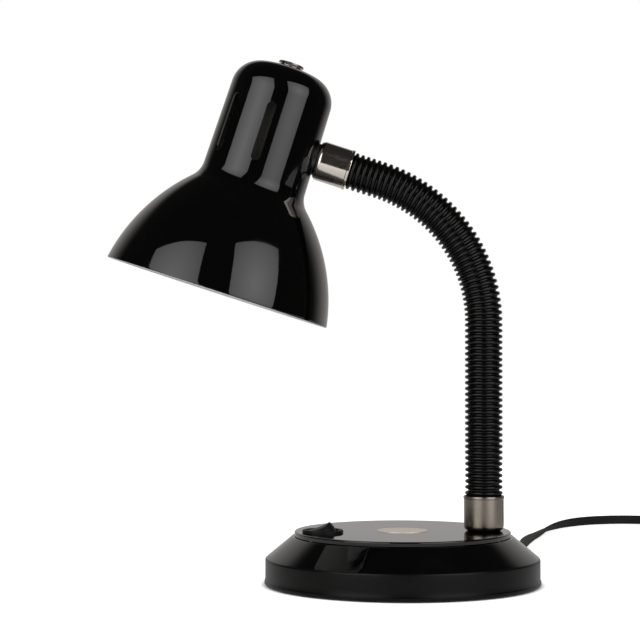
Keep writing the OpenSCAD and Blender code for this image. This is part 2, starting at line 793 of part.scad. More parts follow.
// Height of the crown at a distance r from the axis
function crown_at(r) = dome_s + sqrt(dome_r * dome_r - r * r);

// The cap stands on a collar that is notched to let the warm air out
module crown_cap() {
    rim = 0.9;
    rim_in = 0.3;
    rise = 1.1;
    gap = 6.2;
    gap_low = shade_h + 0.2;
    collar = crown_hole_r + 1.2;
    below = 3.5;
    color("#8f8a82") at_shade() difference() {
        union() {
            translate([0, 0, shade_h + rise]) cylinder(r1 = cap_r, r2 = cap_r - rim_in, h = rim);
            rotate_extrude() polygon([[0, crown_at(crown_hole_r)], [crown_hole_r, crown_at(crown_hole_r)],
                [collar, crown_at(collar)], [collar, shade_h + rise], [0, shade_h + rise]]);
            translate([0, 0, shade_h - below]) cylinder(r = crown_hole_r - run_fit, h = below);
        }
        for (a = [0, 90]) rotate([0, 0, a]) translate([-cap_r, -gap / 2, gap_low])
            cube([2 * cap_r, gap, shade_h + rise - gap_low]);
    }
}

module holder_bracket() {
    foot = attach_s - nipple_r - bracket_foot;
    color("#b9b9b6") at_shade() difference() {
        union() {
            translate([bracket_in_t, -bracket_half, foot])
                cube([bracket_t, 2 * bracket_half, holder_top + bracket_t - foot]);
            translate([-bracket_half, -bracket_half, holder_top])
                cube([bracket_in_t + bracket_half + bracket_t / 2, 2 * bracket_half, bracket_t]);
        }
        translate([bracket_in_t - past, 0, attach_s]) rotate([0, 90, 0])
            cylinder(r = nipple_r + run_fit, h = bracket_t + 2 * past);
        translate([0, 0, holder_top - past]) cylinder(r = holder_screw_r + loose, h = bracket_t + 2 * past);
    }
}

module holder_screw() {
    head_h = 2.4;
    color("silver") at_shade() {
        translate([0, 0, holder_top - holder_thread])
            cylinder(r = holder_screw_r, h = holder_thread + bracket_t);
        translate([0, 0, holder_top + bracket_t]) cylinder(r = 2 * holder_screw_r, h = head_h);
    }
}

module holder_body() {
    edge = 0.8;
    top_edge = [3, 4];
    color("#2a2623") at_shade() difference() {
        rotate_extrude() polygon([[0, holder_low], [holder_r - edge, holder_low],
            [holder_r, holder_low + edge], [holder_r, holder_top - top_edge[1]],
            [holder_r - top_edge[0], holder_top], [0, holder_top]]);
        translate([0, 0, holder_low - past]) cylinder(r = shell_out_r, h = holder_h - holder_roof + past);
        translate([0, 0, holder_top - holder_thread])
            cylinder(r = holder_screw_r, h = holder_thread + past);
    }
}

module holder_shell() {
    roof = holder_top - holder_roof;
    low = holder_low + 2;
    hole_r = 7;
    color("#c9a64a") at_shade() difference() {
        translate([0, 0, low]) cylinder(r = shell_out_r, h = roof - low);
        translate([0, 0, low - past]) cylinder(r = shell_in_r, h = roof - shell_wall - low + past);
        translate([0, 0, roof - past - shell_wall]) cylinder(r = hole_r, h = 2 * past + shell_wall);
    }
}

module holder_contact() {
    leaf_t = 0.6;
    leaf_r = 4.5;
    post_r = 2;
    low = foot_s + contact_gap;
    color("#d6b65c") at_shade() {
        translate([0, 0, low]) cylinder(r = leaf_r, h = leaf_t);
        translate([0, 0, low]) cylinder(r = post_r, h = holder_top - holder_roof - low);
    }
}

module bulb_foot() {
    cone_h = 3;
    edge = 0.5;
    color("#3a3634") at_shade() rotate_extrude() polygon([[0, cap_top],
        [bulb_cap_r - 2 * cap_edge, cap_top], [foot_r + edge, cap_top + cone_h],
        [foot_r, cap_top + cone_h], [foot_r, foot_s - edge], [foot_r - edge, foot_s], [0, foot_s]]);
}

module bulb_cap() {
    top_t = 1;
    color("#cfcac0") at_shade() rotate_extrude() polygon([[glass_neck_r, cap_low], [bulb_cap_r, cap_low],
        [bulb_cap_r, cap_top - cap_edge], [bulb_cap_r - cap_edge, cap_top], [0, cap_top],
        [0, cap_top - top_t], [glass_neck_r - cap_edge, cap_top - top_t],
        [glass_neck_r, cap_top - top_t - cap_edge]]);
}

// The globe is a ball that runs tangent into a slim cone, ending inside the cap
module bulb_glass() {
    straight = 6;
    neck_low = max(cap_low - straight, ball_s + sqrt(bulb_r * bulb_r - glass_neck_r * glass_neck_r) + clear);
    rise = neck_low - ball_s;
    tip_a = -80;
    meet_a = atan2(rise, glass_neck_r) - acos(bulb_r / norm([rise, glass_neck_r]));
    function face(w) = concat([[0, bulb_tip + w]], arc([0, ball_s], bulb_r - w, tip_a, meet_a, 11),
        [[glass_neck_r - w, neck_low - w * tan(meet_a / 2)], [glass_neck_r - w, cap_low + glass_in]]);
    color("#f4f1e8") at_shade() rotate_extrude() polygon(concat(face(0), reversed(face(glass_wall))));
}

// Cord

// Frame on the cord's exit: Z points out of the base, from r along the exit's direction
module at_gland(r) {
    translate([r * gland_dir[0], r * gland_dir[1], gland_z]) rotate([0, 90, gland_a]) children();
}

// A grommet: a flange on each side of the wall, and a tapered strain relief outside
module cord_gland() {
    wall_in = gland_flange_t + clear;
    wall_out = wall_in + cover_wall + clear;
    outside = wall_out + lip_out;
    tip = wall_in + cover_wall + lip_out + gland_len;
    color("#161616") at_gland(inner_band_r - wall_in) rotate_extrude() polygon([[0, 0],
        [gland_flange_r, 0], [gland_flange_r, gland_flange_t], [gland_wall_r, gland_flange_t],
        [gland_wall_r, wall_out], [gland_flange_r, wall_out], [gland_flange_r, outside],
        [gland_wall_r, outside + past], [gland_tip_r, tip], [0, tip]]);
}

module power_cord() {
    out = [gland_end[0], gland_end[1], gland_z, 90];
    straight = [out[0] + cord_out * gland_dir[0], out[1] + cord_out * gland_dir[1], gland_z, 90];
    points = concat([out, straight], cord_points, [concat(coil_path[0], [-90])]);
    last = len(points) - 1;
    angles = [30, 60, 90, 120, 150, 210, 240, 270, 300, 330];
    color("#1a1a1a") ring_solid([for (i = [0 : last]) let (along = i == 0 ? [gland_dir[0], gland_dir[1], 0]
        : i == last ? coil_in : heading(points, i)) flat_ring(points[i], along, angles)]);
}

// The coil winds clockwise seen from above: inwards on the table, up a layer, and outwards again
function smooth(x) = let (c = max(0, min(1, x))) c * c * (3 - 2 * c);
coil_mid = coil_turns / 2;
function coil_at(turn) = let (a = coil_start_a - 360 * turn,
    r = coil_r - coil_step * (coil_mid - abs(turn - coil_mid)), climb = smooth((turn - coil_mid) * 2 + 0.5))
    [coil_c[0] + r * cos(a), coil_c[1] + r * sin(a), coil_z + coil_rise * climb];
coil_in = [sin(coil_start_a), -cos(coil_start_a), 0];
coil_end_a = coil_start_a - 360 * coil_turns;
coil_out = [sin(coil_end_a), -cos(coil_end_a), 0];
coil_last = coil_turns * coil_rings;
coil_path = concat([coil_at(0) - coil_lead * coil_in], [for (k = [0 : coil_last]) coil_at(k / coil_rings)],
    [for (d = [8, coil_tail]) coil_at(coil_turns) + d * coil_out]);
coil_sections = [for (i = [0 : len(coil_path) - 1]) let (
    along = i == 0 ? coil_in : i > coil_last + 1 ? coil_out : heading(coil_path, i),
    side = unit(cross([0, 0, 1], along)), p = coil_path[i])
    [for (f = [[0, 1], [1, 0.5], [1, -0.5], [0, -1], [-1, -0.5], [-1, 0.5]])
        p + f[0] * cord_t / 2 * side + [0, 0, f[1] * cord_w / 2]]];
// Least distance between points of the tube that are more than half a turn apart along it
coil_gap = min([for (i = [0 : coil_last - coil_rings / 2], j = [i + coil_rings / 2 : coil_last + 1])
    if (norm(coil_path[i] - coil_path[j]) < 3 * cord_w) each
    [for (p = coil_sections[i], q = coil_sections[j]) norm(p - q)]]);

module cord_coil() {
    echo(coil_gap = coil_gap);
    color("#1a1a1a") ring_solid([for (ring = coil_sections) reversed(ring)]);
}

module cord_tie() {
    in_r = coil_r - coil_step * coil_mid - cord_t / 2 - 2 * clear;
    deep = coil_step * coil_mid + cord_t + 4 * clear;
    high = coil_rise + coil_z + cord_w / 2 + clear - tie_t;
    color("#202020") translate([coil_c[0], coil_c[1], 0]) rotate([0, 0, tie_a]) difference() {
        translate([in_r - tie_t, -tie_w / 2, 0]) cube([deep + 2 * tie_t, tie_w, high + 2 * tie_t]);
        translate([in_r, -tie_w, tie_t]) cube([deep, 2 * tie_w, high]);
    }
}

// Frame of the plug: X runs out of the cord's end, Z up
module at_plug() {
    p = coil_path[len(coil_path) - 1];
    translate(p) rotate([0, 0, atan2(coil_out[1], coil_out[0])]) children();
}

module plug_body() {
    w = 2 * (coil_z + coil_rise);
    corner = 3;
    color("#171717") at_plug() {
        rotate([0, 90, 0]) cylinder(r1 = gland_tip_r, r2 = plug_h / 2 - past, h = plug_boot);
        translate([plug_boot, 0, 0]) rotate([90, 0, 90]) linear_extrude(height = plug_len) {
            square([plug_h - 2 * corner, w], center = true);
            square([plug_h, w - 2 * corner], center = true);
            for (x = [-1, 1], y = [-1, 1])
                translate([x * (plug_h / 2 - corner), y * (w / 2 - corner)]) circle(r = corner);
        }
    }
}

module plug_blades() {
    spacing = 12.7;
    size = [16.5, 6.3, 1.5];
    color("#c8c4b4") at_plug() for (side = [-1, 1])
        translate([plug_boot + plug_len, -size[1] / 2, side * spacing / 2 - size[2] / 2]) cube(size);
}

// Leads inside the base: one to the switch, one on to the neck, one from the cord to the neck.
// At the switch they pass between its housing and the ballast.
module base_leads() {
    lead_r = 0.9;
    bend = 1.2;
    over = inside_z + ballast_t + 2.5;
    under = pivot_z + housing_bottom - lead_r - 2 * clear;
    joint_z = under - bend;
    neck_low = plate_z - washer_t - nut_h;
    start_r = inner_band_r - gland_flange_t - clear;
    rise_r = ballast_r + 3.5;
    straight = 3;
    rise = rise_r * gland_dir;
    function out(r, side, z) = concat(r * gland_dir + side * 2 * lead_r * [-gland_dir[1], gland_dir[0]], [z]);
    lane_r = body_r + ballast_room / 2;
    function lane(a, z) = [switch_x + lane_r * cos(a), switch_y + lane_r * sin(a), z];
    side_face = switch_x + side_x + blade_t / 2;
    mid_face = switch_x + blade_t / 2;
    color("#ded9cf") {
        lead([out(start_r, 1, gland_z), out(start_r - straight, 1, gland_z), out(rise_r, 1, over),
            [rise[0] - 8, rise[1] - 8, over], [0, 40, over], [switch_x + 16, switch_y + 22, over],
            lane(65, over), lane(65, under), [switch_x - 2, switch_y + 5, under],
            [side_face + straight, switch_y, joint_z], [side_face, switch_y, joint_z]], lead_r);
        lead([[mid_face, switch_y, joint_z], [mid_face + straight, switch_y, joint_z], lane(-20, under),
            lane(-20, over), [switch_x + 18, switch_y - 8, over], [0, -14, over], [neck_x - 22, -8, over],
            [neck_x - 8, -2.5, over],
            [neck_x - bend, -bend, over + 2], [neck_x - bend, -bend, neck_low]], lead_r);
        lead([out(start_r, -1, gland_z), out(start_r - straight, -1, gland_z), out(rise_r, -1, over),
            [rise[0] + 2, rise[1] - 14, over], [neck_x - 2, 22, over], [neck_x + 0.5, 7, over],
            [neck_x + bend, bend, over + 2], [neck_x + bend, bend, neck_low]], lead_r);
    }
}

base_cover();
top_plate();
plate_screws();
badge();
ballast();
bottom_plate();
foot_pad();
bottom_screws();
switch_housing();
switch_terminals();
switch_rocker();
switch_plunger();
switch_lever();
lower_collar();
lower_nipple();
lower_washer();
lower_nut();
base_leads();
cord_gland();
power_cord();
cord_coil();
cord_tie();
plug_body();
plug_blades();
for (i = [0 : joint_count]) {
    neck_sleeve(i);
    neck_link(i);
}
upper_collar();
upper_nipple();
upper_washer();
upper_nut();
shade();
outer_saddle();
inner_saddle();
crown_cap();
holder_bracket();
holder_screw();
holder_body();
holder_shell();
holder_contact();
bulb_foot();
bulb_cap();
bulb_glass();
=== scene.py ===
# %% [markdown]
# # A gooseneck desk lamp, dressed in Blender
# The solids of this lamp already exist: every rigid piece has its place, its joints and its size.
# Here they get the rounded edges, the ribs, the paint and the metal that the eye expects of a lamp.
# Each step first says what a piece is on the real lamp, and then makes it in the same place.

# %% Load the frame
import math

import bmesh
import bpy
from mathutils import Matrix, Vector


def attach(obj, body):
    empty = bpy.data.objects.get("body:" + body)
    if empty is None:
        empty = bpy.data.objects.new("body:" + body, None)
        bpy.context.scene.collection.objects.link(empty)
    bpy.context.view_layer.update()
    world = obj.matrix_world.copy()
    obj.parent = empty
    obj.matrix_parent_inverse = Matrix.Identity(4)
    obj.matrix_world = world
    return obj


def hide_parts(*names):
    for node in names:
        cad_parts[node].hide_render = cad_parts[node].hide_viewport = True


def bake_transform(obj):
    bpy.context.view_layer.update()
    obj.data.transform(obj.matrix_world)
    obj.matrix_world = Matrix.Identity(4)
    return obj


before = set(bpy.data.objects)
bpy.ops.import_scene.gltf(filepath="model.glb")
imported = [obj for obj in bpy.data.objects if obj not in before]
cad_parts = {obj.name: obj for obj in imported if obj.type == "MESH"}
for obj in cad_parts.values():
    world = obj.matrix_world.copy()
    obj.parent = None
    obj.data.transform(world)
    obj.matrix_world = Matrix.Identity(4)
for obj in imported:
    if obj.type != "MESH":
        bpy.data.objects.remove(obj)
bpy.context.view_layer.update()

# %% [markdown]
# Sizes below are written in millimetres, as on a drawing, and become metres in one place.
# The shade stands in a frame of its own: its axis leans 18 degrees, and its mouth is where heights
# start. One matrix holds that, so that the shade, the holder and the bulb can be drawn upright.

# %% Units and the shade's own frame
MM = 0.001
HEAD_TILT = math.radians(18)
MOUTH = Vector((-108.1658, 0, 169.5771)) * MM
SHADE = Matrix.Translation(MOUTH) @ Matrix.Rotation(HEAD_TILT, 4, "Y")
PLATE_TOP = 30.8
print("shade axis:", [round(x, 4) for x in SHADE.to_3x3() @ Vector((0, 0, 1))])

# %% [markdown]
# The camera comes first. The picture is a plain side view, so the camera looks along +Y from about
# a metre away, a little below the lamp's middle and tipped up by less than a degree.
# A long lens keeps the round base and the shade's mouth almost flat, as they are in the picture.

# %% Camera
LENS, SENSOR = 104, 36
CAMERA_AT = (-0.0481, -1.080, 0.1412)
CAMERA_TIP = math.radians(90.66)
camera = bpy.data.objects.new("camera", bpy.data.cameras.new("camera"))
camera.data.lens = LENS
camera.data.sensor_width = SENSOR
camera.location = CAMERA_AT
camera.rotation_euler = (CAMERA_TIP, 0, 0)
bpy.context.scene.collection.objects.link(camera)
bpy.context.scene.camera = camera
print("camera at", tuple(round(x, 4) for x in camera.location))

# %% [markdown]
# Most finishes are sums of a few patterns, so shader maths is written as Python sums.
# A Wire is one output of a node: adding or multiplying Wires adds Math nodes to the material.
# Every other node comes from `node`, which takes its type, its settings and its sockets.

# %% Shader sums
class Wire:
    """One output socket; sums with it add Math nodes."""

    def __init__(self, paint, socket):
        self.paint, self.socket = paint, socket

    def _sum(self, operation, a, b):
        return self.paint.node("ShaderNodeMath", {"operation": operation}, {0: a, 1: b})

    def __add__(self, other):
        return self._sum("ADD", self, other)

    def __radd__(self, other):
        return self._sum("ADD", other, self)

    def __rsub__(self, other):
        return self._sum("SUBTRACT", other, self)

    def __mul__(self, other):
        return self._sum("MULTIPLY", self, other)

    def over(self, low, high):
        """0 below low, 1 above high, and smooth between."""
        return self.paint.node("ShaderNodeMapRange", {"interpolation_type": "SMOOTHSTEP"},
            {0: self, 1: low, 2: high, 3: 0.0, 4: 1.0})


class Paint:
    """A node tree with one method that adds any node."""

    def __init__(self, tree):
        self.tree = tree
        tree.nodes.clear()

    def node(self, kind, settings=None, sockets=None, out=0):
        made = self.tree.nodes.new(kind)
        for name, value in (settings or {}).items():
            setattr(made, name, value)
        for name, value in (sockets or {}).items():
            if isinstance(value, Wire):
                self.tree.links.new(value.socket, made.inputs[name])
            else:
                made.inputs[name].default_value = value
        return Wire(self, made.outputs[out]) if made.outputs else made

    def place(self):
        return self.node("ShaderNodeTexCoord", out="Object")

    def noise(self, scale, detail):
        return self.node("ShaderNodeTexNoise", {}, {
            "Vector": self.place(), "Scale": scale, "Detail": detail})

    def mixed(self, mask, a, b):
        return self.node("ShaderNodeMix", {"data_type": "RGBA"}, {0: mask, 6: a, 7: b}, out=2)

    def bump(self, height, depth, strength):
        return self.node("ShaderNodeBump", {}, {
            "Height": height, "Distance": depth, "Strength": strength})


print("shader helpers ready")

# %% [markdown]
# A finish is a material with one Principled shader. What is the same all over goes straight on the
# shader's sockets, and what changes over the surface comes in as a Wire.

# %% Finishes
def finish(name, look):
    material = bpy.data.materials.new(name)
    material.use_nodes = True
    paint = Paint(material.node_tree)
    shader = paint.node("ShaderNodeBsdfPrincipled", {}, look(paint))
    paint.node("ShaderNodeOutputMaterial", {}, {"Surface": shader})
    return material


def rgb(*c):
    return (*c, 1)


print("finish helper ready")

# %% [markdown]
# Turned, spun and cast parts are all round, so one helper draws half of a section and turns it.
# The pen starts at a point and draws lines and arcs in the plane of radius and height. The finished
# outline is spun round the axis. The operators do the work: extrude for a line, spin for an arc.

# %% Half a section, and its turning
class Section:
    """Half a section in radius and height, in millimetres."""

    def __init__(self, r, z):
        self.mesh = bmesh.new()
        self.first = self.tip = self.mesh.verts.new((r * MM, 0, z * MM))

    def line(self, r, z, cuts=0):
        start = self.tip.co.copy()
        for k in range(1, cuts + 2):
            self.tip = bmesh.ops.extrude_vert_indiv(self.mesh, verts=[self.tip])["verts"][0]
            self.tip.co = start.lerp((r * MM, 0, z * MM), k / (cuts + 1))
        return self

    def arc(self, r, z, angle, steps):
        swept = bmesh.ops.spin(self.mesh, geom=[self.tip], cent=(r * MM, 0, z * MM),
            axis=(0, -1, 0), angle=math.radians(angle), steps=steps, use_duplicate=False)
        self.tip = [v for v in swept["geom_last"] if isinstance(v, bmesh.types.BMVert)][0]
        return self

    def close(self):
        bmesh.ops.contextual_create(self.mesh, geom=[self.tip, self.first])
        return self

    def turn(self, steps, place=None):
        mesh = self.mesh
        bmesh.ops.spin(mesh, geom=mesh.verts[:] + mesh.edges[:], cent=(0, 0, 0), axis=(0, 0, 1),
            angle=2 * math.pi, steps=steps, use_merge=True, use_duplicate=False)
        bmesh.ops.remove_doubles(mesh, verts=mesh.verts[:], dist=1e-6)
        bmesh.ops.recalc_face_normals(mesh, faces=mesh.faces[:])
        if place is not None:
            bmesh.ops.transform(mesh, matrix=place, verts=mesh.verts[:])
        return mesh


print("section pen ready")

# %% [markdown]
# A finished mesh becomes a piece: it gets its materials, smooth faces with crisp edges and the body
# that it moves with, and the solids that it stands for are hidden.

# %% From mesh to piece
def piece(mesh, name, finishes, body=None, nodes=(), crisp=35):
    data = bpy.data.meshes.new(name)
    mesh.to_mesh(data)
    mesh.free()
    for material in finishes:
        data.materials.append(material)
    data.shade_smooth()
    data.set_sharp_from_angle(angle=math.radians(crisp))
    made = bpy.data.objects.new(name, data)
    bpy.context.scene.collection.objects.link(made)
    if body:
        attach(made, body)
    if nodes:
        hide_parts(*nodes)
    print(f"{name}: {len(data.polygons)} faces")
    return made


# %% [markdown]
# ## The cord
# The cord is a flat two-core lead, 6.6 mm wide and 3 mm thick, in black PVC. It leaves the back of
# the base on its edge, turns over onto its flat side on the table, rolls on to its other edge and
# ends in a coil of two layers, held by a tie.
# A curve with a bevel would give a round cord, so the two-lobed section is drawn once and extruded
# along the route, ring by ring, with a roll that changes on the way.

# %% PVC of the cord
def cord_look(p):
    grain = p.noise(900, 3)
    soft = p.noise(55, 2)
    return {
        "Base Color": p.mixed(soft, rgb(0.011, 0.011, 0.0105), rgb(0.019, 0.0187, 0.018)),
        "Roughness": 0.44 + soft * 0.16,
        "Specular IOR Level": 0.1,
        "Normal": p.bump(grain, 0.00006, 0.5),
    }


CORD_PVC = finish("cord_pvc", cord_look)
print(CORD_PVC.name)

# %% The cord's route
GLAND_TURN = math.radians(55)
GLAND_OUT = Vector((math.cos(GLAND_TURN), math.sin(GLAND_TURN), 0))
GLAND_Z = 8.6
GLAND_ROOT, GLAND_END = 75.3, 104.5
STRAIGHT = 12
cord_exit = GLAND_END * GLAND_OUT + Vector((0, 0, GLAND_Z))
run_out = cord_exit + STRAIGHT * GLAND_OUT
route = [(*cord_exit, 90), (*run_out, 90),
    (73, 105, 7.6, 90), (78.3, 118, 6.2, 90), (82, 132, 4.8, 90), (84.8, 147, 3.9, 85),
    (87.4, 163, 3.6, 72), (90.3, 180, 3.4, 58), (93.6, 197, 3.1, 43), (97.5, 214, 2.9, 28),
    (102, 231, 2.7, 14), (107, 248, 2.4, 0), (112, 265, 2.4, -14), (117.5, 281.5, 2.7, -28),
    (124.5, 297.5, 3.1, -44), (133, 313, 3.4, -60), (143, 327, 3.5, -75), (155, 338, 3.6, -86),
    (169, 345.5, 3.6, -90), (184, 348.5, 3.6, -90), (199.5, 346.5, 3.6, -90),
    (214.5, 341.5, 3.6, -90), (229, 334.5, 3.7, -90), (242, 326, 3.8, -90), (253, 317.5, 4, -90)]


print("route points before the coil:", len(route))

# %% The coil
COIL_X, COIL_Y, COIL_R = 240, 277, 38
COIL_START, COIL_TURNS = 45, 7.125
COIL_MIDDLE = COIL_TURNS / 2
COIL_STEP, COIL_ROLL = 3.55, -90
LAYER_Z, LAYER_RISE = 4.1, 7.3
LEAD_IN = 6


def coil_angle(turn):
    return math.radians(COIL_START - 360 * turn)


def coil_at(turn):
    """A point of the coil, which winds inwards, climbs a layer and winds outwards again."""
    a = coil_angle(turn)
    r = COIL_R - COIL_STEP * (COIL_MIDDLE - abs(turn - COIL_MIDDLE))
    climb = max(0, min(1, (turn - COIL_MIDDLE) * 2 + 0.5))
    z = LAYER_Z + LAYER_RISE * climb * climb * (3 - 2 * climb)
    return Vector((COIL_X + r * math.cos(a), COIL_Y + r * math.sin(a), z))


def coil_way(turn):
    a = coil_angle(turn)
    return Vector((math.sin(a), -math.cos(a), 0))


coil_in, coil_out = coil_way(0), coil_way(COIL_TURNS)
route.append((*(coil_at(0) - LEAD_IN * coil_in), COIL_ROLL))
print("coil starts at", [round(x, 1) for x in coil_at(0)])

# %% [markdown]
# The route's points are joined by a smooth curve that passes through each of them, and the coil
# follows its own formula, so both are sampled finely into one list of places and rolls.

# %% Smooth the route
def between(a, b, c, d, t):
    """A point between b and c on a smooth curve through a, b, c and d."""
    return 0.5 * (2 * b + (c - a) * t + (2 * a - 5 * b + 4 * c - d) * t * t
        + (3 * b - a - 3 * c + d) * t ** 3)


PER_STRETCH, PER_TURN = 4, 40
LEAD_OUT = (4, 8, 14, 20)
held = [Vector(p) for p in route]
smooth = []
for i in range(len(held) - 1):
    near = [held[max(0, min(len(held) - 1, i + k))] for k in (-1, 0, 1, 2)]
    smooth += [between(*near, t / PER_STRETCH) for t in range(PER_STRETCH)]
places = [(Vector(p[:3]), p[3]) for p in smooth]
places += [(Vector(held[-1][:3]), COIL_ROLL)]
places += [(coil_at(k / PER_TURN), COIL_ROLL) for k in range(int(COIL_TURNS * PER_TURN) + 1)]
places += [(coil_at(COIL_TURNS) + d * coil_out, COIL_ROLL) for d in LEAD_OUT]
line = [p * MM for p, roll in places]
cord_length = sum((b - a).length for a, b in zip(line, line[1:]))
print("cord stations:", len(places), "length:", round(cord_length, 3))

# %% The two-lobed cord
def station(i):
    """Matrix of one ring: X along the cord's width, Z through its thickness."""
    ahead = (line[min(i + 1, len(line) - 1)] - line[max(i - 1, 0)]).normalized()
    side = Vector((0, 0, 1)).cross(ahead).normalized()
    up = ahead.cross(side)
    roll = math.radians(places[i][1])
    wide = math.cos(roll) * side + math.sin(roll) * up
    thin = math.cos(roll) * up - math.sin(roll) * side
    made = Matrix((wide, -ahead, thin)).transposed().to_4x4()
    made.translation = line[i]
    return made


LOBE_X, LOBE_R, LOBE_TURN, LOBE_STEPS = 1.8, 1.5, 250, 10
lobe_start = math.radians(LOBE_TURN / 2)
lobes = Section(LOBE_X + LOBE_R * math.cos(lobe_start), -LOBE_R * math.sin(lobe_start))
lobes.arc(LOBE_X, 0, LOBE_TURN, LOBE_STEPS)
lobes.line(-lobes.first.co.x / MM, -lobes.first.co.z / MM)
lobes.arc(-LOBE_X, 0, LOBE_TURN, LOBE_STEPS).close()
tube = lobes.mesh
ring = tube.edges[:]
bmesh.ops.contextual_create(tube, geom=ring)
bmesh.ops.transform(tube, matrix=station(0), verts=tube.verts[:])
for i in range(1, len(places)):
    grown = bmesh.ops.extrude_edge_only(tube, edges=ring)["geom"]
    ring = [e for e in grown if isinstance(e, bmesh.types.BMEdge)
        and all(v in grown for v in e.verts)]
    bmesh.ops.transform(tube, matrix=station(i) @ station(i - 1).inverted(),
        verts=[v for v in grown if isinstance(v, bmesh.types.BMVert)])
bmesh.ops.contextual_create(tube, geom=ring)
bmesh.ops.recalc_face_normals(tube, faces=tube.faces[:])
cord = piece(tube, "flat_cord", [CORD_PVC], "base", ["power_cord", "cord_coil"],
    60)

# %% [markdown]
# Where the cord leaves the base, a soft tapered sleeve keeps it from kinking. Its rings make it
# bend in a wide curve. It is round, so it is turned, and then laid along the cord's exit.

# %% Strain relief
def gland_place(r):
    at = r * GLAND_OUT + Vector((0, 0, GLAND_Z))
    return (Matrix.Translation(at * MM) @ Matrix.Rotation(GLAND_TURN, 4, "Z")
        @ Matrix.Rotation(math.radians(90), 4, "Y"))


relief = Section(0, 0).line(5.3, 0).line(5.3, 2.2).line(4.5, 2.2).line(4.5, 5.0).line(5.1, 5.0)
relief.arc(5.1, 5.2, 90, 3).line(5.3, 5.8).arc(5.1, 5.8, 90, 3).line(4.5, 6.2)
RINGS, RING_PITCH, RING_TAPER = 5, 4, 0.12
for k in range(RINGS):
    low, wide = 7.4 + RING_PITCH * k, 4.5 - RING_TAPER * k
    relief.line(wide, low).line(wide - 0.9, low + 0.4).line(wide - 0.95, low + 1.5)
    relief.line(wide - 0.15, low + 1.9)
relief.line(3.8, 28.1).arc(3.3, 28.1, 90, 4).line(0, 28.6)
relief_piece = piece(relief.turn(48, gland_place(GLAND_ROOT)), "strain_relief", [CORD_PVC],
    "base", ["cord_gland"])

# %% [markdown]
# ## The plug
# A moulded plug: a soft block with rounded edges, a tapered boot where the cord goes in, and two
# flat blades, which are already right as solids. The block is a cube with its edges bevelled, and a
# shallow grip is inset on both broad sides.

# %% Plug body
PLUG_LONG, PLUG_DEEP, PLUG_HIGH = 26 * MM, 14 * MM, 22.8 * MM
PLUG_MIDDLE, PLUG_EDGE = 23 * MM, 2.4 * MM
GRIP_FRAME, GRIP_DEPTH = 2.2 * MM, 0.5 * MM
plug_turn = math.atan2(coil_out.y, coil_out.x)
plug_place = Matrix.Translation(line[-1]) @ Matrix.Rotation(plug_turn, 4, "Z")
block = bmesh.new()
bmesh.ops.create_cube(block, size=1)
bmesh.ops.scale(block, vec=(PLUG_LONG, PLUG_DEEP, PLUG_HIGH), verts=block.verts[:])
bmesh.ops.translate(block, vec=(PLUG_MIDDLE, 0, 0), verts=block.verts[:])
bmesh.ops.bevel(block, geom=block.edges[:], offset=PLUG_EDGE, affect="EDGES", segments=4,
    profile=0.5, material=-1)
broad = [f for f in block.faces if abs(f.normal.y) > 0.99]
bmesh.ops.inset_individual(block, faces=broad, thickness=GRIP_FRAME, depth=0)
bmesh.ops.inset_individual(block, faces=broad, thickness=GRIP_DEPTH, depth=-GRIP_DEPTH)
print("plug block:", len(block.faces), "faces")

# %% Plug boot
BOOT_RINGS, BOOT_PITCH, BOOT_FLARE = 3, 2.8, 0.8
boot = Section(0, 0).line(3.2, 0).arc(3.2, 0.3, 90, 2)
for k in range(BOOT_RINGS):
    low, wide = BOOT_PITCH * k, BOOT_FLARE * k
    boot.line(3.5 + wide, 1.2 + low).line(4.2 + wide, 1.5 + low)
    boot.line(4.5 + wide, 3.0 + low).line(3.9 + wide, 3.4 + low)
boot.line(6, 10.5).line(0, 10.5)
boot_mesh = boot.turn(32, Matrix.Rotation(math.radians(90), 4, "Y"))
boot_data = bpy.data.meshes.new("boot")
boot_mesh.to_mesh(boot_data)
boot_mesh.free()
block.from_mesh(boot_data)
bpy.data.meshes.remove(boot_data)
bmesh.ops.transform(block, matrix=plug_place, verts=block.verts[:])
plug = piece(block, "plug", [CORD_PVC], "base", ["plug_body"])

# %% [markdown]
# ## Black paint
# The shade and the base's skirt are sprayed with a hard gloss enamel. Close up it is not a perfect
# mirror: the spray dries with a faint orange peel, and fine dust dulls it here and there. Both are
# noise: a low one bends the reflections a little, a fine one changes the gloss.

# %% Enamels of the shade and the base
def gloss_look(p):
    peel = p.noise(240, 2)
    dust = p.noise(38, 4)
    return {
        "Base Color": p.mixed(dust.over(0.55, 0.8), rgb(0.0008, 0.0008, 0.0008),
            rgb(0.0018, 0.0018, 0.0017)),
        "Roughness": 0.035 + dust.over(0.45, 0.8) * 0.05,
        "Normal": p.bump(peel, 0.00002, 0.35),
    }


def satin_look(p):
    grain = p.noise(1400, 2)
    cloud = p.noise(30, 3)
    return {
        "Base Color": p.mixed(cloud, rgb(0.0018, 0.0017, 0.0016), rgb(0.0032, 0.0031, 0.0028)),
        "Roughness": 0.24 + cloud * 0.10,
        "Specular IOR Level": 0.14,
        "Normal": p.bump(grain, 0.00003, 0.5),
    }


def white_look(p):
    cloud = p.noise(26, 3)
    peel = p.noise(260, 2)
    return {
        "Base Color": p.mixed(cloud, rgb(0.64, 0.635, 0.62), rgb(0.70, 0.695, 0.68)),
        "Roughness": 0.34 + cloud * 0.08,
        "Normal": p.bump(peel, 0.00003, 0.4),
    }


# Painted shade: a dark grey for the inside of the shade's neck, standing in for the shade there.
def painted_shade_look(p):
    cloud = p.noise(45, 4)
    return {
        "Base Color": p.mixed(cloud, rgb(0.060, 0.058, 0.054), rgb(0.095, 0.092, 0.086)),
        "Roughness": 0.55 + cloud * 0.2,
        "Normal": p.bump(p.noise(500, 2), 0.00004, 0.5),
    }


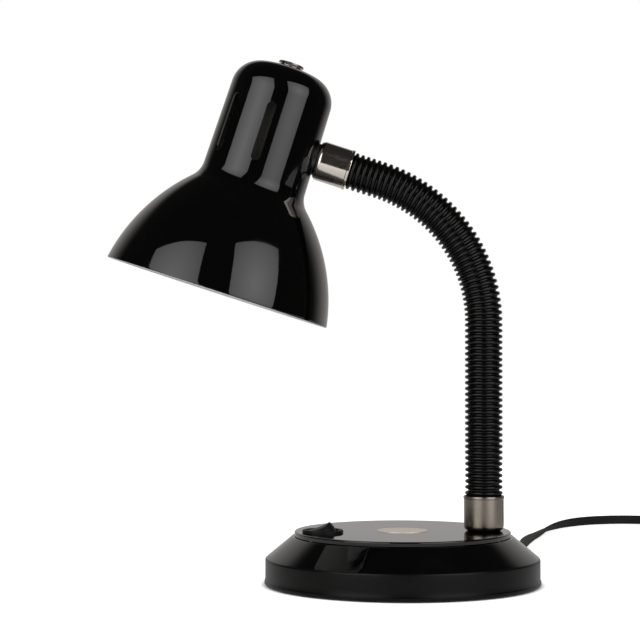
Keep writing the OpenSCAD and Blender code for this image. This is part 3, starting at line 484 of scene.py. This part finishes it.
GLOSS = finish("gloss_enamel", gloss_look)
SATIN = finish("satin_enamel", satin_look)
WHITE = finish("white_enamel", white_look)
PAINTED_SHADE_GREY = finish("painted_shade_grey", painted_shade_look)
print(GLOSS.name, SATIN.name, WHITE.name, PAINTED_SHADE_GREY.name)

# %% [markdown]
# ## The shade
# The bell is spun from one steel sheet: a straight neck that flares out into the bell, and a domed
# crown. It has an outer and an inner face, so its section is a closed outline with a wall of
# 0.9 mm, and the outer edge of the mouth is rounded off, as a trimmed and polished sheet is.
# The straight neck is cut into short rows, because the vent slots are opened there later.

# %% Section of the shade
BELL = (-41.4036, -18.1722)
BELL_OUT, BELL_IN = 110.1, 109.2
FILLET = (44.3906, 70.6712)
FLARE, FILLET_IN = 46, 14.3
CORNER, CORNER_TURN = (14.1, 120.97), 76
DOME, DOME_IN, DOME_TURN = 64.4177, 73.3823, 10.1
NECK_OUT, HOLE = 30.1, 5
BELL_ROWS, FOLD_ROWS, DOME_ROWS, NECK_ROWS = 44, 18, 6, 55
LIP, LIP_TURN, LIP_FOOT = (66.39, 0.673), 99.916, 0.003
mouth_out = math.radians(9.5)
bell_turn = FLARE + 90 - LIP_TURN
bell_turn_in = FLARE - math.degrees(math.asin(BELL_OUT * math.sin(mouth_out) / BELL_IN))
shade = Section(LIP[0], LIP_FOOT).arc(*LIP, LIP_TURN, 6)
shade.arc(*BELL, bell_turn, BELL_ROWS).arc(*FILLET, -FLARE, FOLD_ROWS)
shade.line(NECK_OUT, CORNER[1], NECK_ROWS)
shade.arc(*CORNER, CORNER_TURN, FOLD_ROWS).arc(0, DOME, DOME_TURN, DOME_ROWS)
shade.line(HOLE, DOME + math.sqrt(DOME_IN ** 2 - HOLE ** 2)).arc(0, DOME, -DOME_TURN, DOME_ROWS)
shade.arc(*CORNER, -CORNER_TURN, FOLD_ROWS)
shade.line(FILLET[0] - FILLET_IN, FILLET[1], NECK_ROWS).arc(*FILLET, FLARE, FOLD_ROWS)
shade.arc(*BELL, -bell_turn_in, BELL_ROWS).close()
bell = shade.turn(240)
print("shade faces before the slots:", len(bell.faces))

# %% [markdown]
# Heat leaves through four vent slots in the neck. The sheet is already cut into small cells there,
# so the cells inside each slot's rounded outline are taken out of both faces, the edge that is left
# is drawn onto the outline, and the two edges are bridged into the cut wall of the sheet.

# %% Vent slots
SLOT_HALF, SLOT_RUN, SLOT_MID = 2.7 * MM, 14.8 * MM, 95.5 * MM
SLOT_TURNS = (93, 141, -93, -141)
NECK_LEAST, NECK_MOST = 0.028, 0.0315


def in_slot(point, turn):
    """Place on the unrolled neck, counted from the middle of a slot."""
    r = math.hypot(point.x, point.y)
    a = math.atan2(point.y, point.x) - turn
    return r, math.atan2(math.sin(a), math.cos(a)) * r, point.z - SLOT_MID


def from_outline(across, along):
    core = max(-SLOT_RUN, min(SLOT_RUN, along))
    return core, math.hypot(across, along - core)


for turn in SLOT_TURNS:
    turn = math.radians(turn)
    cells = []
    for f in bell.faces:
        r, across, along = in_slot(f.calc_center_median(), turn)
        if NECK_LEAST < r < NECK_MOST and from_outline(across, along)[1] < SLOT_HALF:
            cells.append(f)
    rim = {e for f in cells for e in f.edges if not all(g in cells for g in e.link_faces)}
    bmesh.ops.delete(bell, geom=cells, context="FACES")
    for v in {v for e in rim for v in e.verts}:
        r, across, along = in_slot(v.co, turn)
        core, gap = from_outline(across, along)
        across, along = across * SLOT_HALF / gap, core + (along - core) * SLOT_HALF / gap
        a = turn + across / r
        v.co = (r * math.cos(a), r * math.sin(a), SLOT_MID + along)
    bmesh.ops.bridge_loops(bell, edges=list(rim))
bmesh.ops.recalc_face_normals(bell, faces=bell.faces[:])
print("shade faces with the slots:", len(bell.faces))

# %% [markdown]
# Outside the sheet is black, inside the bell is white to throw the light down, and the raw rim took
# the white coat too. Up in the neck, next to the holder, the inside is painted a dark grey that
# stands for the shade there: painted shade. A face's own direction tells the two sides apart: the
# outer face of a bell always looks out or up.

# %% Paint the two sides
for f in bell.faces:
    middle = f.calc_center_median()
    outwards = Vector((middle.x, middle.y, 0)).normalized() + Vector((0, 0, 1))
    # Inside faces above the fold get the painted shade grey, and those below it get the white.
    inner = 1 if middle.z < FILLET[1] * MM else 2
    f.material_index = 0 if f.normal.dot(outwards) > -0.05 else inner
bmesh.ops.transform(bell, matrix=SHADE, verts=bell.verts[:])
piece(bell, "bell_shade", [GLOSS, WHITE, PAINTED_SHADE_GREY], "head", ["shade"])

# %% [markdown]
# ## The base
# The cover is pressed from sheet: a narrow foot lip, an upright band and a conical skirt, with soft
# edges where the sheet was folded. A sharp edge would look cut from solid, so each fold is an arc.
# The skirt has the gloss enamel of the shade, and the band under it is duller.

# %% Base cover
BAND_R, BAND_TOP, BAND_IN = 80, 15, 77.8
SKIRT_R, SKIRT_TOP = 64, 28.2
SKIRT_IN, SKIRT_UP = 16, 13.2
FOLD_R, EDGE_R = 1.6, 1.2
LEDGE_R, LEDGE_Z = 58.5, 26
DULL_BELOW = 15.7 * MM
skirt_lean = math.degrees(math.atan2(SKIRT_IN, SKIRT_UP))
fold_z = BAND_TOP - FOLD_R * math.tan(math.radians(skirt_lean / 2))
lean = Vector((-SKIRT_IN, SKIRT_UP)).normalized()
cover = Section(BAND_IN, 0.6).line(80.1, 0.6).arc(80.1, 1.0, 90, 4).line(80.5, 2.2)
cover.arc(80.25, 2.2, 60, 4).line(80.06, 2.56).line(BAND_R, 2.8).line(BAND_R, fold_z, 3)
cover.arc(BAND_R - FOLD_R, fold_z, skirt_lean, 6)
top_fold = Vector((SKIRT_R, SKIRT_TOP)) - lean
cover.line(*top_fold, 6)
cover.arc(top_fold.x - EDGE_R * lean.y, top_fold.y + EDGE_R * lean.x, 90 - skirt_lean, 5)
cover.line(LEDGE_R, SKIRT_TOP).line(LEDGE_R, LEDGE_Z).line(62.6, LEDGE_Z).line(BAND_IN, 13.6)
shell = cover.close().turn(256)
for f in shell.faces:
    f.material_index = 1 if f.calc_center_median().z < DULL_BELOW else 0
piece(shell, "base_cover_shell", [GLOSS, SATIN], "base", ["base_cover"])

# %% [markdown]
# Many solids already have the right shape: the flat top plate, screws, washers, the holder and its
# contacts. They only need a finish, which goes into their material slots.

# %% Dress a solid
def dress(material, *names):
    for name in names:
        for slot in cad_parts[name].material_slots:
            slot.material = material
    print(material.name, "on", ", ".join(names))


dress(GLOSS, "top_plate")
dress(SATIN, "bottom_plate")

# %% [markdown]
# ## The badge
# A thin round plate of champagne-coloured metal sits in the middle of the top plate. It is bare.
# A lathe leaves fine rings on such a plate, so the finish counts the distance from the middle and
# turns it into rings, for the gloss and for a very shallow bump.

# %% Badge plate
def champagne_look(p):
    at = p.node("ShaderNodeVectorMath", {"operation": "MULTIPLY"}, {0: p.place(), 1: (1, 1, 0)})
    away = p.node("ShaderNodeVectorMath", {"operation": "LENGTH"}, {0: at}, out="Value")
    rings = p.node("ShaderNodeMath", {"operation": "SINE"}, {0: away * 9000.0})
    cloud = p.noise(90, 3)
    return {
        "Base Color": p.mixed(cloud, rgb(0.80, 0.72, 0.61), rgb(0.87, 0.80, 0.70)),
        "Metallic": 0.55,
        "Roughness": 0.36 + rings * 0.04 + cloud * 0.08,
        "Normal": p.bump(rings, 0.000006, 0.4),
    }


CHAMPAGNE = finish("badge_champagne", champagne_look)
BADGE_R, BADGE_EDGE = 14.75, 0.2
badge_low, badge_side, badge_face = PLATE_TOP - 0.3, PLATE_TOP + 0.1, PLATE_TOP + 0.22
disc = Section(0, badge_low).line(BADGE_R, badge_low).line(BADGE_R, badge_side)
disc.arc(BADGE_R - BADGE_EDGE, badge_side, 90, 3).line(14.0, PLATE_TOP + 0.3)
disc.line(13.8, badge_face).line(0, badge_face)
piece(disc.turn(96), "badge_plate", [CHAMPAGNE], "base", ["badge"], 20)

# %% [markdown]
# ## The switch
# A round bezel holds a rocker. Both are moulded in black plastic, with a fine spark texture on the
# bezel and a smoother hollow on the rocker, where the finger goes.

# %% Switch plastic
def plastic_look(p):
    spark = p.noise(2600, 2)
    wear = p.noise(160, 3)
    return {
        "Base Color": p.mixed(wear, rgb(0.0035, 0.0035, 0.0035), rgb(0.0065, 0.0064, 0.0062)),
        "Roughness": 0.40 + wear * 0.14,
        "Specular IOR Level": 0.14,
        "Normal": p.bump(spark, 0.00002, 0.5),
    }


PLASTIC = finish("switch_plastic", plastic_look)
PIVOT = Vector((-46.5, -10, 27.8)) * MM
BARREL_R, BEZEL_R, WELL_R = 10.6, 11.9, 9.5
BARREL_Z, WELL_Z = -14, -12
bezel = Section(0, BARREL_Z).line(BARREL_R, BARREL_Z).line(BARREL_R, 3).line(BEZEL_R, 3)
bezel.line(BEZEL_R, 3.8).arc(11.1, 3.8, 90, 6).line(10.1, 4.6).arc(10.1, 4.0, 90, 5)
bezel.line(WELL_R, WELL_Z).line(0, WELL_Z)
piece(bezel.turn(96, Matrix.Translation(PIVOT)), "switch_bezel", [PLASTIC], "base",
    ["switch_housing"])

# %% [markdown]
# The rocker is a round block with a hollow top, tilted so that one end stands up. It is turned
# first, with rows of small faces on top, and then its top is let down onto a wide cylinder, which
# leaves the two raised ends. The rim that remains is bevelled, as every moulded edge is.

# %% Rocker
HOLLOW_R, HOLLOW_Z = 22.0, 27.9
SHOULDER, RISE = 3.6, 7.1
KNOB_R, TOP_R, CONE = 8.4, 7.0, 0.4
KNOB_FOOT, FOOT_EDGE = -2.5, 0.4
ROCKER_TILT = math.radians(-20)
RIM_R, RIM_Z, RIM_BEVEL = 6.99 * MM, (RISE - 0.01) * MM, 0.5 * MM
knob = Section(0, KNOB_FOOT).line(KNOB_R - FOOT_EDGE, KNOB_FOOT)
knob.arc(KNOB_R - FOOT_EDGE, KNOB_FOOT + FOOT_EDGE, 90, 3).line(KNOB_R, SHOULDER, 3)
knob.line(TOP_R, RISE, 7).line(0, RISE, 13)
rocker = knob.turn(96)
rim = [e for e in rocker.edges
    if all(v.co.z > RIM_Z and v.co.xy.length > RIM_R for v in e.verts)]
for v in rocker.verts:
    top = HOLLOW_Z - math.sqrt(HOLLOW_R ** 2 - (v.co.x / MM) ** 2)
    if v.co.z > (SHOULDER + 0.05) * MM:
        part = (v.co.z / MM - SHOULDER) / (RISE - SHOULDER)
        z = SHOULDER + (top - SHOULDER) * part
        on_cone = (KNOB_R - (z - SHOULDER) * CONE) * MM
        reach = v.co.xy.length
        if reach > RIM_R or part < 0.99:
            v.co.xy = v.co.xy * (on_cone / reach)
        v.co.z = min(v.co.z, z * MM)
bmesh.ops.bevel(rocker, geom=rim, offset=RIM_BEVEL, affect="EDGES", segments=3, profile=0.5,
    material=-1)
bmesh.ops.recalc_face_normals(rocker, faces=rocker.faces[:])
rocker_place = Matrix.Translation(PIVOT) @ Matrix.Rotation(ROCKER_TILT, 4, "Y")
bmesh.ops.transform(rocker, matrix=rocker_place, verts=rocker.verts[:])
piece(rocker, "rocker_key", [PLASTIC], "rocker", ["switch_rocker"], 40)

# %% [markdown]
# ## The collars
# Two deep-drawn cups in nickel hold the ends of the neck. Each has a rounded closed end and a small
# rolled lip. Nickel is warmer than chrome, and handling leaves a drawn cup a little uneven, so
# noise changes its gloss. The lower cup is brushed, and its colour is made much darker as painted
# shade; the upper one is polished.

# %% Nickel
def nickel_look(gloss, spread, depth, dark, light):
    def look(p):
        hair = p.noise(420, 4)
        cloud = p.noise(70, 2)
        return {
            "Base Color": p.mixed(cloud, rgb(*dark), rgb(*light)),
            "Metallic": 1.0,
            "Roughness": gloss + hair * spread,
            "Normal": p.bump(hair, depth, 0.3),
        }
    return look


NICKEL = finish("polished_nickel", nickel_look(0.09, 0.08, 6e-6, (0.66, 0.605, 0.535),
    (0.74, 0.685, 0.615)))
# Painted shade: the lower cup's colour is set far darker than the polished cup's; its rougher gloss
# is the brushed finish.
SHADED_BRUSHED_NICKEL = finish("brushed_nickel_with_painted_shade", nickel_look(0.22, 0.08, 3e-6, (0.215, 0.187, 0.157),
    (0.275, 0.242, 0.206)))


CUP_R, CUP_HIGH, CUP_ROUND, CUP_LIP = 11.6, 20.4, 3, 0.35
CUP_BORE, CUP_IN = 5.2, 11.15


def collar():
    lip_r, lip_z = CUP_R + CUP_LIP, CUP_HIGH - CUP_LIP
    cup = Section(CUP_BORE, 0).line(CUP_R - CUP_ROUND, 0)
    cup.arc(CUP_R - CUP_ROUND, CUP_ROUND, 90, 10).line(CUP_R, CUP_HIGH - 1.75, 4)
    cup.line(lip_r, CUP_HIGH - 1.4).line(lip_r, lip_z).arc(CUP_R, lip_z, 90, 5)
    cup.line(CUP_IN, CUP_HIGH).line(CUP_IN, CUP_ROUND).arc(CUP_IN - 2, CUP_ROUND, -90, 6)
    return cup.line(CUP_BORE, 1).close()


NECK_X = 47.5
LOWER = Matrix.Translation(Vector((NECK_X, 0, PLATE_TOP)) * MM)
UPPER = (SHADE @ Matrix.Translation(Vector((31.168, 0, 92)) * MM)
    @ Matrix.Rotation(math.radians(90), 4, "Y"))
piece(collar().turn(96, LOWER), "lower_cup", [SHADED_BRUSHED_NICKEL], "base", ["lower_collar"])
piece(collar().turn(96, UPPER), "upper_cup", [NICKEL], "neck_8", ["upper_collar"])

# %% [markdown]
# ## The ribbed neck
# Over the steel core runs a sleeve of black vinyl with close round ribs. Straight, it is a turned
# shape: one rib is drawn 68 times and spun. Then each point is carried onto the neck's curve.
# The core bends at eight joints, so the sleeve is made in eight lengths. Each one reaches from the
# middle of one link to the middle of the next, cut at the nearest groove, and follows the neck's
# curve over the joint between them. The first and the last one also reach into the cups.

# %% Vinyl
def vinyl_look(p):
    skin = p.noise(700, 3)
    dust = p.noise(120, 3)
    return {
        "Base Color": p.mixed(dust, rgb(0.0014, 0.0014, 0.0013), rgb(0.0036, 0.0035, 0.0034)),
        "Roughness": 0.15 + dust * 0.10,
        "Specular IOR Level": 0.24,
        "Normal": p.bump(skin, 0.00005, 0.5),
    }


VINYL = finish("sleeve_vinyl", vinyl_look)
print(VINYL.name)

# %% The neck's curve
NECK_Z = PLATE_TOP + CUP_HIGH
BENDS = [(101.0, 87.0, 38.0), (0.0, 88.8, 34.0)]
JOINTS = [18.9, 46.2667, 73.6333, 101.0, 129.8502, 158.7003, 185.0484, 211.3964]
PATH = 229.496


def neck_at(s):
    """Place and lean of the neck at a distance s from the lower cup's lip."""
    x, z, lean = NECK_X, NECK_Z, 0.0
    for straight, radius, angle in BENDS + [(1e6, 1.0, 0.0)]:
        run = min(s, straight) if s > 0 else s
        x, z, s = x - run * math.sin(lean), z + run * math.cos(lean), s - run
        if s <= 0:
            break
        swing = min(s / radius, math.radians(angle))
        x -= radius * (math.cos(lean) - math.cos(lean + swing))
        z += radius * (math.sin(lean + swing) - math.sin(lean))
        lean, s = lean + swing, s - radius * swing
    return x, z, lean


print("neck ends at", [round(v, 2) for v in neck_at(PATH)])

# %% Sleeve lengths
RIBS = 68
PITCH = PATH / RIBS
IN_CUP = 19.2
ROOT, TIP = -IN_CUP, PATH + IN_CUP
GROOVE_R, FLANK_R, RIB_R, BORE_R = 9.2, 9.5, 9.95, 7
STIFF_LOW, STIFF_HIGH = 5.2, 5.6
middles = [(a + b) / 2 for a, b in zip(JOINTS, JOINTS[1:])]
cuts = [0] + [round(m / PITCH) for m in middles] + [RIBS]


def sleeve(first, last, low, high):
    run = Section(GROOVE_R, low)
    for k in range(first, last):
        s, e = k * PITCH, (k + 1) * PITCH
        run.line(GROOVE_R, s + 0.25).line(FLANK_R, s + 0.48).line(RIB_R, s + 0.62)
        run.arc(RIB_R, s + PITCH / 2, 180, 8).line(FLANK_R, e - 0.48).line(GROOVE_R, e - 0.25)
    run.line(GROOVE_R, high).line(BORE_R, high).line(BORE_R, low, 2 * (last - first)).close()
    mesh = run.turn(48)
    for v in mesh.verts:
        x, z, lean = neck_at(v.co.z / MM)
        v.co = (x * MM + v.co.x * math.cos(lean), v.co.y, z * MM + v.co.x * math.sin(lean))
    return mesh


def on_neck(s):
    x, z, _ = neck_at(s)
    return (x * MM, 0, z * MM)


for j in range(len(JOINTS)):
    low = ROOT if j == 0 else cuts[j] * PITCH
    high = TIP if j == len(JOINTS) - 1 else cuts[j + 1] * PITCH
    nodes = ["neck_sleeve_0", "neck_sleeve_1"] if j == 0 else [f"neck_sleeve_{j + 1}"]
    part = piece(sleeve(cuts[j], cuts[j + 1], low, high), f"neck_sleeve_run_{j + 1}", [VINYL],
        None, nodes, 50)
    on_neck(min(high, PATH - STIFF_HIGH))
    on_neck(max(low, STIFF_LOW))
    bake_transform(part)

# %% [markdown]
# ## The bulb
# A white opal globe in a screw cap. The globe is a ball that runs into a slim neck. The cap's
# thread is rolled into thin metal, so it is a wave that climbs one pitch in each turn: the cap is
# turned plain, and each point then moves out or in by its height and its place round the axis.

# %% Bulb finishes
def opal_look(p):
    cloud = p.noise(18, 2)
    return {
        "Base Color": p.mixed(cloud, rgb(0.78, 0.77, 0.74), rgb(0.82, 0.81, 0.79)),
        "Roughness": 0.16 + cloud * 0.06,
        "Subsurface Weight": 0.1,
    }


def tin_look(p):
    smear = p.noise(150, 4)
    return {
        "Base Color": p.mixed(smear, rgb(0.50, 0.49, 0.46), rgb(0.64, 0.63, 0.60)),
        "Metallic": 1.0,
        "Roughness": 0.28 + smear * 0.18,
    }


OPAL = finish("opal_glass", opal_look)
TIN = finish("tinned_cap", tin_look)
print(OPAL.name, TIN.name)

# %% Globe and cap
GLOBE_LOW, GLOBE_Z, GLOBE_TURN = 27.7, 50.7, 121.47
STEM_R, STEM_IN, STEM_TOP = 12.7, 11.9, 86
globe = Section(0, GLOBE_LOW).arc(0, GLOBE_Z, GLOBE_TURN, 36).line(STEM_R, 74, 4)
globe.line(STEM_R, STEM_TOP).line(STEM_IN, STEM_TOP).line(STEM_IN, 73.77).line(18.93, 62.29)
globe.arc(0, GLOBE_Z, -GLOBE_TURN, 24)
piece(globe.turn(96, SHADE), "bulb_globe", [OPAL], "bulb", ["bulb_glass"])
CAP_LOW, CAP_TOP, CAP_IN = 80, 103.5, 102.5
THREAD_R, THREAD_DEPTH, THREAD_PITCH = 12.86, 0.2, 3.629
THREAD_LOW, THREAD_TOP = 81.5, 101
thread = Section(STEM_R, CAP_LOW).line(12.9, CAP_LOW).line(12.75, 102, 64)
thread.line(11.6, CAP_TOP, 2).line(0, CAP_TOP).line(0, CAP_IN).line(11.2, CAP_IN)
cap = thread.line(STEM_R, THREAD_TOP).close().turn(96)
for v in cap.verts:
    r, z = v.co.xy.length / MM, v.co.z / MM
    if r > STEM_R + 0.02 and THREAD_LOW < z < THREAD_TOP:
        wave = math.sin(2 * math.pi * z / THREAD_PITCH - math.atan2(v.co.y, v.co.x))
        v.co.xy = v.co.xy * ((THREAD_R + THREAD_DEPTH * wave) / r)
bmesh.ops.transform(cap, matrix=SHADE, verts=cap.verts[:])
piece(cap, "bulb_screw_cap", [TIN], "bulb", ["bulb_cap"])

# %% [markdown]
# ## The small parts
# What is left are screws, nuts, washers, wires and the lamp holder. Their shapes are right as they
# are. Each gets the finish of its own stuff: zinc, brass, cast iron, rubber, dark resin.

# %% Finishes of the small parts
def plain(name, dark, light, rough, spread, metal=0.0, scale=120, grain=900, depth=0.00003):
    def look(p):
        cloud = p.noise(scale, 3)
        return {
            "Base Color": p.mixed(cloud, rgb(*dark), rgb(*light)),
            "Metallic": metal,
            "Roughness": rough + cloud * spread,
            "Normal": p.bump(p.noise(grain, 2), depth, 0.5),
        }
    return finish(name, look)


ZINC = plain("zinc_plate", (0.46, 0.46, 0.46), (0.60, 0.60, 0.58), 0.26, 0.2, 1.0)
BRASS = plain("brass", (0.58, 0.42, 0.17), (0.72, 0.54, 0.25), 0.22, 0.2, 1.0)
IRON = plain("cast_iron", (0.06, 0.058, 0.055), (0.12, 0.115, 0.11), 0.55, 0.25, 0.6, scale=60,
    grain=500, depth=0.0002)
CORE = plain("core_steel", (0.30, 0.30, 0.29), (0.42, 0.42, 0.41), 0.3, 0.2, 1.0)
RUBBER = plain("foot_rubber", (0.020, 0.020, 0.020), (0.035, 0.034, 0.033), 0.7, 0.2, scale=90,
    grain=700, depth=0.0001)
IVORY = plain("plunger_ivory", (0.70, 0.66, 0.57), (0.78, 0.74, 0.66), 0.3, 0.15)
RESIN = plain("holder_resin", (0.060, 0.056, 0.050), (0.095, 0.089, 0.080), 0.3, 0.2)
DARK = plain("insulator_dark", (0.012, 0.011, 0.010), (0.03, 0.028, 0.026), 0.2, 0.2)
LEAD = plain("lead_white", (0.62, 0.60, 0.55), (0.72, 0.70, 0.65), 0.45, 0.1)
WASHER = plain("black_washer", (0.006, 0.006, 0.006), (0.012, 0.012, 0.011), 0.25, 0.15)

# %% Dress the small parts
dress(ZINC, "plate_screws", "bottom_screws", "lower_washer", "lower_nut", "upper_washer",
    "upper_nut", "inner_saddle", "holder_bracket", "holder_screw")
dress(BRASS, "switch_terminals", "switch_lever", "lower_nipple", "upper_nipple", "holder_shell",
    "holder_contact")
dress(IRON, "ballast")
dress(CORE, *[f"neck_link_{i}" for i in range(9)])
dress(RUBBER, "foot_pad")
dress(IVORY, "switch_plunger")
dress(RESIN, "holder_body")
dress(DARK, "bulb_foot", "cord_tie")
dress(LEAD, "base_leads")
dress(WASHER, "outer_saddle")
# The crown cap takes the same darkened nickel, painted shade included.
dress(SHADED_BRUSHED_NICKEL, "crown_cap")
dress(NICKEL, "plug_blades")

# %% [markdown]
# ## Floor and light
# The lamp stands on a white table in front of white. The floor is a round white sheet that takes
# the lamp's shadow. Seen by the camera it gets some light of its own, more of it further out, so
# that it reaches white and its edge is not seen; under the base it stays dark, as a narrow gap is.

# %% Floor
FLOOR_R, FLOOR_Z = 1.1, -0.0003
NEAR, NEAR_GLOW = (0.079, 0.084), 0.70
FAR, FAR_GLOW = (0.25, 0.9), 0.55
sheet = bmesh.new()
bmesh.ops.create_circle(sheet, cap_ends=True, segments=128, radius=FLOOR_R)
bmesh.ops.translate(sheet, vec=(0, 0, FLOOR_Z), verts=sheet.verts[:])
floor_mesh = bpy.data.meshes.new("floor")
sheet.to_mesh(floor_mesh)
sheet.free()
floor_white = bpy.data.materials.new("floor_white")
floor_white.use_nodes = True
p = Paint(floor_white.node_tree)
seen = p.node("ShaderNodeLightPath", out="Is Camera Ray")
lit = p.node("ShaderNodeBsdfDiffuse", {}, {"Color": rgb(0.9, 0.9, 0.9)})
away = p.node("ShaderNodeVectorMath", {"operation": "LENGTH"}, {0: p.place()}, out="Value")
own_light = away.over(*NEAR) * NEAR_GLOW + away.over(*FAR) * FAR_GLOW
glow = p.node("ShaderNodeEmission", {}, {"Color": rgb(1, 1, 1), "Strength": seen * own_light})
both = p.node("ShaderNodeAddShader", {}, {0: lit, 1: glow})
p.node("ShaderNodeOutputMaterial", {}, {"Surface": both})
floor_mesh.materials.append(floor_white)
floor = bpy.data.objects.new("floor", floor_mesh)
bpy.context.scene.collection.objects.link(floor)
print("floor ready")

# %% [markdown]
# The studio is dark in front and white behind, and that is what black gloss paint is made of: its
# edges mirror the white behind the lamp, its middle mirrors the dark room, and two large soft lamps
# stand in it as grey panes. The world gives the camera pure white, gives mirrors the white only
# where it is, behind the lamp, a little warm, and gives everything else a low even light.

# %% World
DARK_ROOM, WHITE_BEHIND, EVEN_LIGHT = 0.025, 0.5, 0.35
world = bpy.data.worlds.new("studio")
bpy.context.scene.world = world
world.use_nodes = True
p = Paint(world.node_tree)
way = p.node("ShaderNodeTexCoord", out="Generated")
back = p.node("ShaderNodeSeparateXYZ", {}, {0: way}, out="Y")
up = p.node("ShaderNodeSeparateXYZ", {}, {0: way}, out="Z")
behind = back.over(0.45, 0.85) * (1.0 - up.over(0.5, 0.68))
camera_ray = p.node("ShaderNodeLightPath", out="Is Camera Ray")
glossy_ray = p.node("ShaderNodeLightPath", out="Is Glossy Ray")
clear_ray = p.node("ShaderNodeLightPath", out="Is Transmission Ray")
diffuse_ray = p.node("ShaderNodeLightPath", out="Is Diffuse Ray")
mirrored = glossy_ray * (DARK_ROOM + behind * WHITE_BEHIND)
level = camera_ray + clear_ray + mirrored + diffuse_ray * EVEN_LIGHT
warm = p.mixed(glossy_ray, rgb(1, 1, 1), rgb(1, 0.965, 0.935))
sky = p.node("ShaderNodeBackground", {}, {"Color": warm, "Strength": level})
p.node("ShaderNodeOutputWorld", {}, {"Surface": sky})
print("world ready")

# %% [markdown]
# A soft lamp is a sheet of cloth with a bulb behind it, so it is brightest in the middle and fades
# towards its edges. An area lamp is even, so its strength is made to fall with the distance from
# its middle.

# %% Soft lamps
LAMPS_AIM = Vector((-0.06, 0, 0.17))
LAMP_MIDDLE, LAMP_FADE = 1.45, 1.2


def soft_lamp(name, turn, rise, roll, away, wide, high, watts):
    light = bpy.data.lights.new(name, "AREA")
    light.shape, light.size, light.size_y, light.energy = "RECTANGLE", wide, high, watts
    light.use_nodes = True
    p = Paint(light.node_tree)
    spot = p.node("ShaderNodeNewGeometry", out="Parametric")
    off = p.node("ShaderNodeVectorMath", {"operation": "DISTANCE"},
        {0: spot, 1: (0.5, 0.5, 0)}, out="Value")
    fade = p.node("ShaderNodeEmission", {}, {
        "Color": rgb(1, 1, 1), "Strength": LAMP_MIDDLE - off * LAMP_FADE})
    p.node("ShaderNodeOutputLight", {}, {"Surface": fade})
    lamp = bpy.data.objects.new(name, light)
    turn, rise = math.radians(turn), math.radians(rise)
    level = math.cos(rise)
    way = Vector((math.sin(turn) * level, -math.cos(turn) * level, math.sin(rise)))
    lamp.location = LAMPS_AIM + away * way
    spun = Matrix.Rotation(math.radians(roll), 3, "Z")
    lamp.rotation_euler = (way.to_track_quat("Z", "Y").to_matrix() @ spun).to_euler()
    bpy.context.scene.collection.objects.link(lamp)
    print(name, "at", [round(x, 2) for x in lamp.location])


soft_lamp("soft_lamp_left", -40, 20, 9, 1.4, 1.3, 1.65, 13.8)
soft_lamp("soft_lamp_right", 43, 17, -17, 1.4, 1.2, 1.42, 11)
bpy.context.scene.view_settings.view_transform = "Standard"
